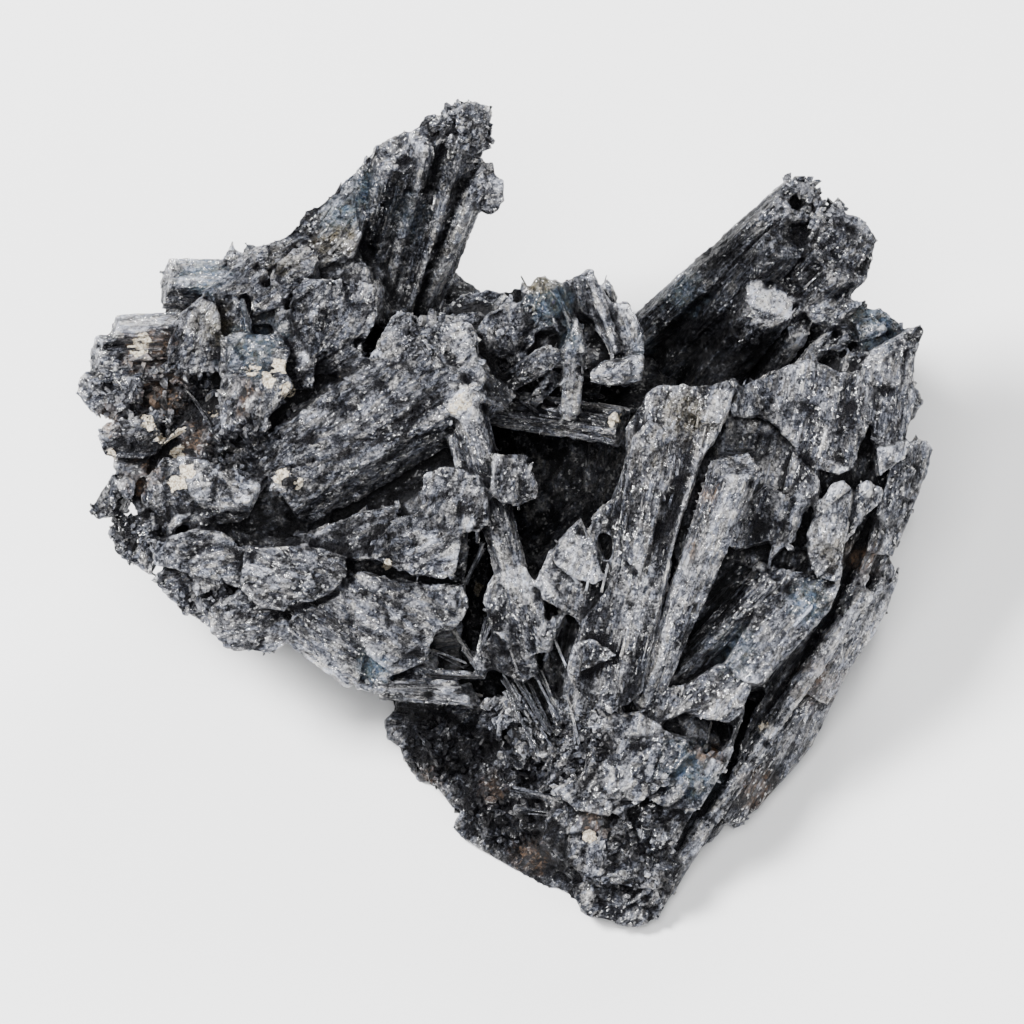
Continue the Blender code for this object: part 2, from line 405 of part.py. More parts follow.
def crest(cluster):
    """The bladed crest across the middle, and the prism that bridges the hollow below it."""
    cluster.prism("bridge", (-3.4, 8.2, -3.4), (8.4, 6.3, -2.0), 1.5, 1.5, 7, 10, 1.0, (0, -0.4))
    cluster.block("bridge_flake", [(7.9, 7.5), (8.2, 6.4), (7.2, 6.9)], 0.2, (0, 0), 2.6, 0.9)
    cluster.block("dark_block", [
        (1.4, 15.5), (2.1, 14.8), (2.2, 12.3), (0.6, 10.9), (-1.6, 11.4), (-2.0, 13.4), (-1.4, 14.5),
    ], 0.7, (0.05, 0.35), 6, 0.85, (0, -1))
    cluster.block("gold_lobe", [
        (1.2, 16.8), (1.7, 16.3), (2.1, 17.0), (2.8, 17.2), (3.4, 16.6), (4.6, 14.0), (3.9, 13.3),
        (2.2, 13.4), (1.3, 14.6), (0.85, 16.3),
    ], 1.4, (-0.05, 0.12), 6.5, 0.8, (0.3, -2.0))
    cluster.prism("curved_rib", (5.4, 10.6, 1.2), (3.3, 16.6, 1.6), 0.62, 0.9, 5, 0, 1.0, (0, -0.3), 0.42)
    cluster.prism("rib_shaft", (4.5, 7.4, -1.0), (4.9, 12.4, 1.5), 0.95, 1.1, 4, 35, 0.9, (0, -0.5))
    cluster.block("peak", [
        (3.6, 16.5), (5.9, 17.65), (6.3, 17.4), (7.3, 15.6), (7.9, 12.8), (7.0, 12.9), (6.0, 14.3),
        (4.9, 14.6),
    ], 1.3, (0.04, 0.05), 6.5, 0.8, (0.2, -2.0))
    cluster.prism("peak_rib", (7.9, 11.6, 0.6), (5.8, 17.3, 1.2), 0.55, 0.8, 4, 0, 1.0, (0, -0.3))
    cluster.block("rear_lobe", [
        (7.3, 16.9), (7.95, 15.7), (7.8, 15.0), (6.9, 14.8), (6.8, 16.5),
    ], -1.2, (0, 0), 4, 0.9, (0, -1))
    cluster.block("crest_shoulder", [
        (7.4, 15.35), (8.8, 15.0), (9.8, 13.2), (9.9, 11.3), (8.9, 11.2), (7.2, 12.4),
    ], 0.9, (0.05, 0.1), 7, 0.85, (-0.5, -1.0))
    cluster.block("crest_tab", [
        (9.9, 11.4), (9.85, 9.6), (7.2, 9.1), (6.0, 9.4), (5.9, 10.2), (6.9, 11.0),
    ], 2.1, (0.05, 0.28), 4.5, 0.85)
    cluster.prism("crest_tooth", (8.6, 9.6, 0.0), (8.6, 10.3, 2.9), 0.45, 0.8, 4, 20, 1.0, (0.2, -0.4))
    cluster.prism("light_peg", (-0.8, 8.9, -1.2), (3.1, 11.3, 1.7), 1.05, 0.95, 6, 25, 0.8, (0.1, -0.7))
    cluster.prism("peg_shadow", (1.6, 7.8, -1.5), (3.6, 9.9, 0.7), 0.8, 0.8, 4, 30, 1.0)
    cluster.block("rear_flake", [
        (0.5, 15.3), (-1.0, 13.9), (-4.8, 13.8), (-5.0, 15.5), (-4.1, 15.25), (-3.2, 15.9), (-1.0, 16.3),
        (0.0, 16.0),
    ], -4.6, (0.1, 0.2), 5, 0.85, (0, -2))
    cluster.block("low_ledge", [
        (-5.2, 13.6), (-3.2, 14.6), (-1.6, 14.6), (-1.0, 13.0), (-3.0, 12.4),
    ], -0.6, (0, 0.3), 5, 0.9, (0, -1.5))
    cluster.prism("crest_blade", (1.2, 10.0, -0.8), (0.2, 15.0, 0.9), 0.8, 0.9, 4, 10, 1.0, (0, -0.3))


def right_group(cluster):
    """The great prisms that point up and out at the top right, over the dark hollow."""
    cluster.prism("upper_prism", (8.2, 11.6, -8.6), (20.9, 22.6, 2.4), 1.75, 1.8, 6, 12, 0.9, (0.0, -0.5))
    cluster.prism("middle_prism", (11.5, 10.8, -8.0), (20.0, 19.6, 2.9), 1.75, 1.6, 5, 10, 0.9, (0.1, -0.5))
    cluster.prism("great_prism", (13.6, 8.6, -10.0), (24.0, 19.2, 1.9), 3.1, 2.7, 6, 8, 0.85, (-0.4, -0.8))
    cluster.block("great_end", [
        (22.6, 22.4), (23.9, 22.4), (24.4, 21.6), (25.3, 21.4), (26.8, 19.6), (25.5, 17.9), (24.0, 18.0),
        (22.6, 19.2), (22.0, 21.2),
    ], 2.6, (-0.15, 0.10), 4, 0.75, (-1.6, -1.4))
    cluster.block("end_rim", [
        (20.6, 24.35), (22.1, 23.6), (22.6, 22.9), (22.3, 21.8), (21.2, 23.0), (20.0, 23.3),
    ], 3.4, (0.0, 0.1), 4.5, 0.8, (-1.6, -1.6))
    cluster.prism("lit_prism", (13.6, 8.4, -8.0), (18.9, 15.2, 1.3), 2.0, 1.7, 6, 0, 0.9, (0.2, -1.0))
    cluster.prism("shaded_prism", (16.8, 8.0, -8.0), (21.0, 13.8, -0.6), 1.1, 1.2, 5, 15, 0.9, (0, -0.5))
    cluster.block("ledge", [
        (21.0, 15.3), (23.6, 16.05), (26.2, 14.8), (26.7, 15.0), (28.75, 13.2), (28.3, 12.4),
        (26.4, 12.0), (22.0, 14.0),
    ], 0.9, (0.0, 0.30), 7, 0.85, (-0.8, -2.0))
    cluster.block("ledge_step", [
        (24.9, 13.9), (26.3, 14.3), (27.3, 13.2), (26.3, 11.9), (25.1, 12.2),
    ], 2.0, (0.1, 0.15), 4, 0.9)
    cluster.prism("small_peg", (19.6, 9.0, -4.0), (22.9, 12.4, 0.4), 0.75, 0.75, 6, 10, 0.9, (0, -0.4))
    cluster.prism("ledge_rod_a", (20.8, 9.4, -3.6), (24.6, 12.9, 0.6), 0.6, 0.9, 4, 20, 0.9)
    cluster.prism("ledge_rod_b", (22.4, 9.2, -2.4), (26.0, 12.0, 1.6), 0.7, 0.8, 5, 20, 0.9)
    cluster.hull("hollow_wall", [
        (24.5, 14.0, -2.5), (27.8, 12.6, -1.0), (27.6, 9.0, -2.0), (21.0, 14.0, -5.0), (25.0, 13.5, -13.0),
        (27.5, 9.0, -13.0), (19.0, 13.4, -13.0), (22.5, 9.0, -10.0), (14.0, 14.2, -13.5), (12.0, 12.8, -9.0),
    ])


def right_wall(cluster):
    """The wrinkled wall at the right, with its domed end."""
    cluster.block("dome", [
        (15.7, 8.3), (16.9, 9.3), (20.6, 10.8), (21.6, 11.0), (23.8, 10.2), (25.2, 10.4), (25.7, 9.4),
        (25.5, 8.4), (25.9, 6.8), (24.8, 3.3), (23.4, 2.9), (22.0, 3.2), (19.4, 6.3), (17.8, 7.0),
        (16.2, 7.0),
    ], 4.9, (-0.10, 0.04), 7.5, 0.9)
    cluster.block("dome_side", [
        (15.6, 7.2), (17.8, 7.4), (20.0, 6.4), (20.8, 5.2), (20.4, 4.9), (18.0, 5.6), (15.8, 5.5),
    ], 3.4, (0, 0.3), 6, 0.9)
    cluster.block("outer_wall", [
        (29.6, 13.7), (30.0, 13.2), (29.3, 11.4), (29.15, 9.6), (29.45, 8.5), (28.4, 4.0), (26.6, 2.6),
        (26.5, 4.8), (25.2, 10.4), (26.2, 11.8),
    ], 3.4, (-0.42, 0.04), 8, 0.85, (-1.5, 0))
    cluster.block("fold", [
        (20.5, 4.6), (22.4, 2.5), (22.2, 1.3), (21.3, 0.3), (20.3, -2.1), (18.6, -3.4),
    ], 5.6, (0.05, 0.0), 6, 0.9)
    cluster.block("round_post", [
        (24.0, 2.4), (24.8, 1.8), (23.8, -4.9), (22.3, -4.5), (21.6, -3.8), (21.5, -1.5), (21.9, 0.2),
        (23.2, 2.0),
    ], 5.0, (-0.15, 0.0), 7, 0.9, (-0.6, 0))
    cluster.block("grey_wedge", [
        (25.8, 2.5), (26.9, 1.9), (26.8, 1.1), (24.3, -1.9), (24.7, 1.6),
    ], 3.6, (-0.3, 0.05), 6, 0.9, (-1, 0))
    cluster.block("striped_mass", [
        (23.8, -4.9), (23.2, -6.8), (18.4, -12.0), (17.0, -11.9), (15.4, -10.6), (18.8, -5.2),
        (19.0, -3.5),
    ], 4.6, (-0.12, -0.02), 7, 0.85)


def front_fan(cluster):
    """The broad blade and the long prisms that fan up from the lower middle."""
    cluster.block("blade", [
        (16.6, 9.65), (14.8, 5.2), (13.9, 4.2), (12.2, -1.2), (9.7, -12.6), (8.6, -13.8), (6.4, -14.0),
        (4.9, -12.6), (4.4, -11.4), (5.3, -7.4), (7.2, -5.0), (7.6, -2.4), (7.3, -0.4), (8.5, 4.6),
        (8.5, 6.4), (10.0, 8.8), (11.5, 9.4), (13.2, 9.2),
    ], 7.4, (0.04, 0.045), 6.5, 0.9)
    cluster.block("blade_ridge", [
        (10.2, 6.6), (11.6, 6.0), (11.8, 3.0), (9.6, -4.4), (8.2, -3.0), (7.9, -0.6), (8.9, 5.6),
    ], 8.2, (-0.18, 0.05), 4, 1.05)
    cluster.block("blade_end", [
        (16.5, 9.6), (15.2, 6.5), (13.8, 6.4), (12.9, 7.4), (13.3, 8.9),
    ], 8.3, (0.1, -0.28), 3.5, 1.0)
    cluster.block("blade_lip", [
        (8.1, 2.4), (8.6, 2.0), (8.4, -0.6), (7.4, -1.6), (6.3, -1.3), (6.05, -0.1), (7.4, 1.0),
    ], 6.6, (0.2, 0), 4, 0.95)
    cluster.prism("long_prism", (9.9, -13.6, 4.2), (16.35, 3.5, 8.2), 2.05, 1.75, 4, 14, 0.5, (0.5, -0.8))
    cluster.block("prism_neighbour", [
        (20.1, 1.3), (20.0, 0.0), (18.9, -1.9), (16.2, -2.5), (15.6, -2.0), (17.2, 0.9), (18.5, 2.1),
    ], 5.9, (-0.05, 0.05), 5, 0.85)
    cluster.prism("low_prism", (10.2, -13.0, 2.0), (19.4, -4.2, 3.8), 1.75, 1.6, 5, 10, 0.55, (0.3, -0.5))
    cluster.block("left_block", [
        (5.3, -0.1), (5.8, -0.9), (6.5, -1.1), (7.5, -4.7), (5.1, -7.6), (2.6, -6.1), (2.0, -4.9),
        (3.1, -2.4),
    ], 6.3, (0.10, 0.12), 5.5, 0.85)
    cluster.block("left_block_face", [
        (5.3, -0.4), (6.2, -1.4), (7.2, -4.6), (6.2, -5.0), (4.4, -4.2), (3.2, -3.2), (3.2, -2.5),
    ], 7.1, (0.05, -0.25), 3, 1.0)
    cluster.block("blade_foot", [
        (8.0, -10.0), (5.0, -11.4), (4.3, -11.2), (4.7, -9.2), (6.2, -8.6),
    ], 7.6, (0.1, 0.1), 3, 0.95)


def lower_point(cluster):
    """The granular mass below the fan, down to the lowest point."""
    cluster.block("above_pocket", [
        (17.6, -12.1), (17.0, -14.0), (16.0, -14.9), (12.8, -14.2), (11.8, -14.4), (11.1, -15.0),
        (9.9, -14.4), (10.2, -12.9), (12.7, -12.0), (15.2, -10.5),
    ], 4.6, (-0.06, 0.05), 4.5, 0.9)
    cluster.block("pocket_wall", [
        (17.1, -13.8), (16.0, -17.3), (15.1, -18.6), (14.9, -17.2), (15.9, -16.0), (16.0, -14.6),
    ], 3.4, (-0.2, 0), 6, 0.95)
    cluster.block("upper_mass", [
        (13.4, -16.8), (10.4, -20.0), (8.0, -21.4), (5.2, -21.0), (3.1, -19.6), (5.3, -18.4),
        (6.4, -14.2), (9.5, -14.0), (12.9, -16.1),
    ], 5.0, (0.0, 0.10), 6.5, 0.9)
    cluster.block("pocket_lip", [
        (11.2, -15.2), (12.9, -15.9), (13.0, -16.3), (12.4, -16.7), (11.6, -16.2),
    ], 5.4, (0, 0), 3, 0.9)
    cluster.block("blue_mass", [
        (15.9, -17.6), (13.6, -21.2), (11.4, -21.0), (10.2, -20.2), (10.6, -18.6), (12.4, -17.0),
        (13.6, -16.7),
    ], 4.1, (-0.10, 0.12), 6, 0.9)
    cluster.block("lower_mass", [
        (13.4, -21.4), (11.4, -24.6), (10.8, -26.8), (6.0, -26.3), (2.4, -23.2), (3.1, -20.8),
        (6.0, -21.2), (9.8, -20.6),
    ], 3.0, (-0.03, 0.20), 5.5, 0.9)
    cluster.block("point", [
        (4.4, -26.4), (6.0, -26.0), (10.9, -26.6), (11.25, -27.7), (10.9, -29.0), (9.2, -29.6),
        (6.5, -29.0), (5.3, -28.5),
    ], 0.9, (-0.05, 0.30), 3.2, 0.9, (0, 0.6))
    cluster.block("nest_flake", [
        (-2.5, -10.5), (-1.9, -11.3), (-0.9, -11.1), (1.3, -12.1), (2.5, -11.3), (2.0, -8.6),
        (0.4, -8.0), (-1.1, -8.3),
    ], 4.1, (0.0, 0.15), 5, 0.9)
    cluster.block("nest_chip", [
        (4.3, -7.0), (3.2, -9.8), (2.3, -9.6), (2.0, -8.6), (2.7, -7.4),
    ], 5.2, (0.0, 0.1), 5, 0.9)
    needles = (
        ((-0.2, -11.6, 1.6), (3.5, -17.2, 2.4), 0.34), ((0.9, -11.6, 1.4), (3.3, -15.6, 2.6), 0.32),
        ((0.2, -12.6, 0.8), (2.6, -17.6, 1.4), 0.4), ((2.5, -11.2, 2.2), (3.9, -14.6, 2.9), 0.55),
        ((3.2, -8.2, 2.6), (4.4, -10.8, 3.9), 0.28), ((4.6, -13.0, 2.4), (5.0, -16.2, 3.0), 0.3),
        ((-4.1, -7.6, 1.2), (-2.0, -10.8, 2.4), 0.4), ((-1.2, -7.6, 1.2), (-1.9, -10.2, 2.2), 0.35),
    )
    for k, (foot, tip, half) in enumerate(needles):
        cluster.prism(f"needle_{k}", foot, tip, half, half * 0.9, 4, 15, 1.0)
    cluster.druse("nest_druse", (2.6, -17.2, 0.8), (2.0, 1.5, 0.5), 6, 0.75, 31)
    cluster.druse("nest_upper_druse", (-0.4, -14.4, 0.4), (1.0, 1.6, 0.5), 4, 0.8, 32)
    for k, (y, z, half) in enumerate(((-20.0, 1.2, 0.46), (-21.2, 0.9, 0.4), (-22.2, 0.5, 0.45))):
        cluster.prism(f"step_rod_{k}", (3.8, y - 0.25, z), (0.2 + 0.4 * k, y + 0.2, z - 0.4), half, half * 1.2, 5, 20)


def rear_and_flank(cluster):
    """The shaded rear part at the lower left, and the layered flank at the lower right, both down to the floor."""
    cluster.block("rear_left", [
        (-3.8, -21.2), (-1.5, -20.0), (-0.5, -16.0), (-2.5, -12.0), (-8.0, -13.0), (-8.0, -14.0),
        (-8.8, -14.8), (-8.6, -16.1), (-7.6, -16.7), (-7.4, -17.8), (-6.5, -17.9), (-5.6, -18.7),
    ], -3.6, (0.28, 0.05), 6, 0.9)
    cluster.block("rear_low", [
        (6.6, -28.9), (6.0, -25.6), (0.4, -19.6), (-2.6, -19.4), (-3.9, -22.4), (-3.0, -23.3),
        (2.8, -26.7), (4.3, -26.9), (5.2, -28.4),
    ], -2.2, (0.22, 0.10), 5, 0.92)
    cluster.druse("rear_druse", (-4.0, -16.6, -3.4), (2.2, 1.7, 0.5), 6, 1.1, 41)
    cluster.druse("rear_low_druse", (-0.4, -22.2, -2.2), (1.6, 1.5, 0.4), 5, 0.9, 42)
    cluster.prism("rear_rod", (-1.0, -15.3, -3.6), (-6.2, -15.8, -2.6), 0.45, 0.5, 5, 0, 1.0)
    cluster.block("flank_upper", [
        (30.2, 5.2), (30.6, 4.7), (30.25, 3.0), (27.7, -3.1), (25.6, -2.6), (27.4, 3.4), (28.5, 5.0),
        (29.6, 5.5),
    ], 0.2, (-0.75, 0.1), 7, 0.9, (-0.5, 0))
    cluster.block("flank_middle", [
        (26.8, -1.4), (28.15, -4.5), (27.3, -7.0), (23.0, -13.8), (20.4, -12.4), (23.4, -6.6),
        (25.0, -1.0),
    ], -1.4, (-0.95, 0.35), 7, 0.9)
    cluster.block("flank_lower", [
        (22.6, -9.6), (24.4, -11.8), (22.0, -16.7), (18.0, -21.3), (16.8, -22.15), (15.6, -22.3),
        (15.4, -20.2), (17.6, -14.0), (20.4, -10.0),
    ], -1.6, (-1.0, 0.45), 6, 0.9)
    cluster.block("flank_point", [
        (16.2, -17.4), (17.4, -19.0), (15.7, -22.25), (14.8, -23.4), (14.2, -23.5), (12.1, -26.9),
        (11.3, -27.6), (10.9, -28.9), (10.3, -27.0), (11.4, -24.6),
    ], -0.4, (-0.8, 0.4), 4.5, 0.9)
    for k, (foot, tip, half) in enumerate((
            ((12.5, -24.6, -0.6), (25.6, -5.4, 0.4), 0.8), ((14.5, -22.0, -2.4), (27.0, -4.4, -2.2), 0.9),
            ((17.2, -19.6, -4.2), (26.2, -7.8, -5.0), 0.9), ((22.5, -10.0, -0.4), (28.8, 3.6, -0.2), 0.9))):
        cluster.prism(f"flank_band_{k}", foot, tip, half, half * 1.5, 5, 25, 0.9)
    cluster.prism("foot_spur", (15.6, -20.6, -5.0), (16.8, -22.3, -4.0), 0.6, 0.8, 5, 0, 1.2)


def hidden_sides(cluster):
    """Crystals on the back and under the left end, which point out and away from the eye."""
    stubs = (
        ((-4, 6, -12), (-7, 15.0, -19), 4.4, 3.6), ((2, 6, -12), (2.5, 14.4, -18), 4.2, 3.8),
        ((9, 6, -12), (10.5, 13.6, -16.5), 4.0, 3.6),
        ((21, 6, -11), (24.5, 13.8, -15), 3.8, 3.6), ((-10, 4, -11), (-16.0, 12.6, -17), 4.4, 3.8),
        ((-3, 8, -6), (-4, 15.0, -11), 3.4, 3.0), ((4, 9, -5), (5, 15.4, -9.5), 3.2, 3.0),
        ((-14, 10, -4), (-17, 17.4, -8.5), 3.6, 2.8), ((-20, 9, -1), (-22.0, 15.2, -6), 3.2, 2.8),
        ((-9, 13, -5), (-11.5, 19.8, -9), 3.2, 3.0), ((23, 5, -3), (27.4, 8.2, -8), 3.4, 3.0),
        ((23, 8, -6), (26.6, 12.4, -10), 3.0, 2.8),
        ((-19, 5, 0), (-26.0, 7.2, -5), 3.2, 3.0), ((-19, 0, 1), (-24.4, -0.6, -4.4), 3.2, 2.8),
        ((-14, -1, -1), (-19.0, -4.4, -5.4), 3.6, 3.0), ((-13, 4, -6), (-20.6, 4.4, -11.4), 4.0, 3.4),
        ((-8, -2, -4), (-13.2, -5.4, -9.4), 3.8, 3.2), ((-6, -6, -3), (-9.6, -9.6, -7.4), 3.0, 2.8),
        ((-11, 9, -9), (-18.6, 11.6, -14), 3.8, 3.2), ((-21, 10, 0), (-26.4, 11.0, -4.2), 2.6, 2.4),
    )
    chance = random.Random(5)
    for k, (foot, tip, wide, deep) in enumerate(stubs):
        slant = (chance.uniform(-1.6, 1.6), chance.uniform(-1.6, 1.6))
        cluster.prism(f"hidden_stub_{k}", foot, tip, wide, deep, chance.choice((4, 5, 6)),
                      chance.uniform(0, 60), 1.0, slant)


def floor_cutter():
    """A block whose top is the floor, which takes everything below it off the broken back."""
    bpy.ops.mesh.primitive_cube_add(size=1, location=(0, 0, -0.05))
    cutter = bpy.context.object
    cutter.name = "floor_cutter"
    cutter.scale = (0.2, 0.2, 0.1)
    cutter.hide_render = True
    cutter.display_type = "WIRE"
    return cutter


def islands(mesh):
    """The vertices of each connected shell."""
    left = set(mesh.verts)
    found = []
    while left:
        shell, reached = set(), [left.pop()]
        while reached:
            vert = reached.pop()
            shell.add(vert)
            for edge in vert.link_edges:
                other = edge.other_vert(vert)
                if other in left:
                    left.remove(other)
                    reached.append(other)
        found.append(shell)
    return found


def grown_together(cluster, cutter, material):
    """All crystals joined in one closed solid, cut off at the floor, with any pocket sealed inside it filled."""
    seed = cluster.shapes.objects["bed"]
    cluster.shapes.objects.unlink(seed)
    bpy.context.scene.collection.objects.link(seed)
    join = seed.modifiers.new("join", "BOOLEAN")
    join.operation = "UNION"
    join.operand_type = "COLLECTION"
    join.collection = cluster.shapes
    cut = seed.modifiers.new("rest", "BOOLEAN")
    cut.operation = "DIFFERENCE"
    cut.object = cutter
    bpy.context.view_layer.update()
    grown = seed.evaluated_get(bpy.context.evaluated_depsgraph_get())
    mesh = bmesh.new()
    mesh.from_mesh(grown.to_mesh())
    grown.to_mesh_clear()
    shells = sorted(islands(mesh), key=len)
    loose = [vert for shell in shells[:-1] for vert in shell]
    bmesh.ops.delete(mesh, geom=loose, context="VERTS")
    data = bpy.data.meshes.new("manganite_cluster")
    mesh.to_mesh(data)
    mesh.free()
    data.materials.clear()
    data.materials.append(material)
    cluster_object = bpy.data.objects.new("manganite_cluster", data)
    bpy.context.scene.collection.objects.link(cluster_object)
    seed.modifiers.clear()
    seed.hide_render = True
    seed.display_type = "WIRE"
    return cluster_object


def main():
    clear_scene()
    cluster = Cluster()
    for part in (cores, broken_edge, tall_bundle, left_slope, left_end, lower_slab, barrel_and_plates, crest,
                 right_group, right_wall, front_fan, lower_point, rear_and_flank, hidden_sides):
        part(cluster)
    grown_together(cluster, floor_cutter(), manganite_material())


main()
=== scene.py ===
import math

import bmesh
import bpy
import numpy as np
from mathutils import Matrix, Vector


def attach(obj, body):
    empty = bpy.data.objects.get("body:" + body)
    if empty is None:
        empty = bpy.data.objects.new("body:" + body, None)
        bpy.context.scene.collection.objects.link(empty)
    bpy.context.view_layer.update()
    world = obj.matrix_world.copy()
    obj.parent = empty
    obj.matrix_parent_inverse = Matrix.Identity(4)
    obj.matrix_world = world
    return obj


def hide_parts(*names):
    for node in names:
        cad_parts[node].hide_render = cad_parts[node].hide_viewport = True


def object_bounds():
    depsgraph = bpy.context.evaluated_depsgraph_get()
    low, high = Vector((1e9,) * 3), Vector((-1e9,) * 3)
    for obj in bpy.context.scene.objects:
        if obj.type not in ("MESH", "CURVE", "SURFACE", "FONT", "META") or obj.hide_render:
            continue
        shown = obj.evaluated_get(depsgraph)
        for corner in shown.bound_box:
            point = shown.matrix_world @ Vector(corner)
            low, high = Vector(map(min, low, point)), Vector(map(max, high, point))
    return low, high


FACE_TILT = math.radians(25)  # the showing face leans back this far from level
FACE_CENTRE_MM = (0.125, 0.123, 13.20)
CAMERA_DISTANCE = 1.2
CAMERA_AIM_MM = (0.43, 0.21)  # the middle of the photograph, across and up the face
PHOTO_WIDTH_MM = 73.14
SENSOR_WIDTH = 36

VOXEL = 0.198e-3
PIECES = 5  # slices that the fine mesh is shown in
OFF_VERTEX = 1.3e-6  # keeps a cut between two slices from running through a vertex
BOX_MARGIN = 0.02e-3  # the surface stays this far inside the CAD box
SMALL_CRYSTALS = 3600
LATHS = 1500
SHARD_SIDES = 5
SHARD_TAPER = 0.82  # a small crystal's tip is this much of its foot's width
ELSEWHERE = 100  # a point on no long prism has this number plus the number of its spot in GRAIN

# The lamps: name, place in metres, size across and power in watts.
LAMPS = (
    ("key", (-0.34, 0.06, 0.50), 0.16, 12.5), ("front", (-0.06, -0.20, 0.62), 0.30, 4.5),
    ("fill", (0.45, -0.30, 0.40), 0.30, 1.8), ("back", (0.16, 0.50, 0.30), 0.20, 4.0),
)
FLOOR_GREY = (0.80, 0.80, 0.80)
SKY_COLOUR = (0.93, 0.95, 1.0, 1)
SKY_STRENGTH = 0.30
LAMP_AIM = (0, 0, 0.012)
FLOOR_SIZE = 6
FLOOR_DROP = 0.05e-3  # the floor lies this far below the cluster

# Long prisms: foot and tip on the face, half width, half thickness, all in millimetres, and how striated.
PRISMS = (
    ((-11.2, 13.6, -8.0), (-7.3, 26.0, 3.0), 2.2, 1.7, 1),
    ((-9.0, 13.4, -7.6), (-5.2, 27.4, 4.2), 1.6, 1.7, 1),
    ((-8.0, 12.8, -7.4), (-3.1, 28.1, 4.4), 1.75, 1.75, 1),
    ((-7.4, 12.6, -8.6), (-2.6, 24.4, 1.2), 1.8, 1.9, 1),
    ((-10.4, 12.4, -13.0), (-5.2, 24.0, -3.4), 2.6, 2.2, 1),
    ((-18.5, 16.4, -0.4), (-24.4, 16.5, -0.2), 2.0, 2.2, 0.6),
    ((-21.5, 13.6, 0.6), (-28.1, 13.3, 0.2), 0.95, 1.3, 1),
    ((-22.5, 12.5, 0.8), (-29.2, 12.3, 0.0), 0.65, 1.0, 1),
    ((-22.8, 11.8, 0.2), (-28.6, 11.8, -0.2), 0.6, 0.9, 1),
    ((-23.0, 10.4, 0.0), (-28.6, 9.7, 0.2), 0.7, 1.0, 0.9),
    ((-16.2, 2.2, 1.2), (-2.6, 10.9, 2.6), 4.55, 4.0, 0.3),
    ((2.0, -10.0, 3.6), (-2.9, 8.4, 4.5), 1.45, 1.4, 0.8),
    ((-3.4, 8.2, -3.4), (8.4, 6.3, -2.0), 1.5, 1.5, 1),
    ((5.4, 10.6, 1.2), (3.3, 16.6, 1.6), 0.62, 0.9, 0.9),
    ((4.5, 7.4, -1.0), (4.9, 12.4, 1.5), 0.95, 1.1, 0.9),
    ((7.9, 11.6, 0.6), (5.8, 17.3, 1.2), 0.55, 0.8, 0.9),
    ((-0.8, 8.9, -1.2), (3.1, 11.3, 1.7), 1.05, 0.95, 0.7),
    ((8.2, 11.6, -8.6), (20.9, 22.6, 2.4), 1.75, 1.8, 1),
    ((11.5, 10.8, -8.0), (20.0, 19.6, 2.9), 1.75, 1.6, 0.9),
    ((13.6, 8.6, -10.0), (24.0, 19.2, 1.9), 3.1, 2.7, 0.9),
    ((13.6, 8.4, -8.0), (18.9, 15.2, 1.3), 2.0, 1.7, 0.9),
    ((16.8, 8.0, -8.0), (21.0, 13.8, -0.6), 1.1, 1.2, 0.9),
    ((9.9, -13.6, 4.2), (16.35, 3.5, 8.2), 2.05, 1.75, 0.8),
    ((10.2, -13.0, 2.0), (19.4, -4.2, 3.8), 1.75, 1.6, 0.8),
    ((6.6, -14.5, 4.5), (12.6, 9.6, 7.4), 3.5, 4.0, 0.72),
    ((13.0, -14.0, 1.0), (22.6, -3.4, 3.6), 3.6, 3.4, 0.75),
    ((12.5, -24.6, -0.6), (25.6, -5.4, 0.4), 0.8, 1.2, 0.4),
    ((14.5, -22.0, -2.4), (27.0, -4.4, -2.2), 0.9, 1.35, 0.5),
    ((12.0, -26.0, -5.0), (28.8, 0.0, -6.0), 3.6, 5.5, 0.7),
    ((18.6, -3.6, 3.0), (21.9, 10.6, 3.6), 1.9, 3.4, 0.6),
)

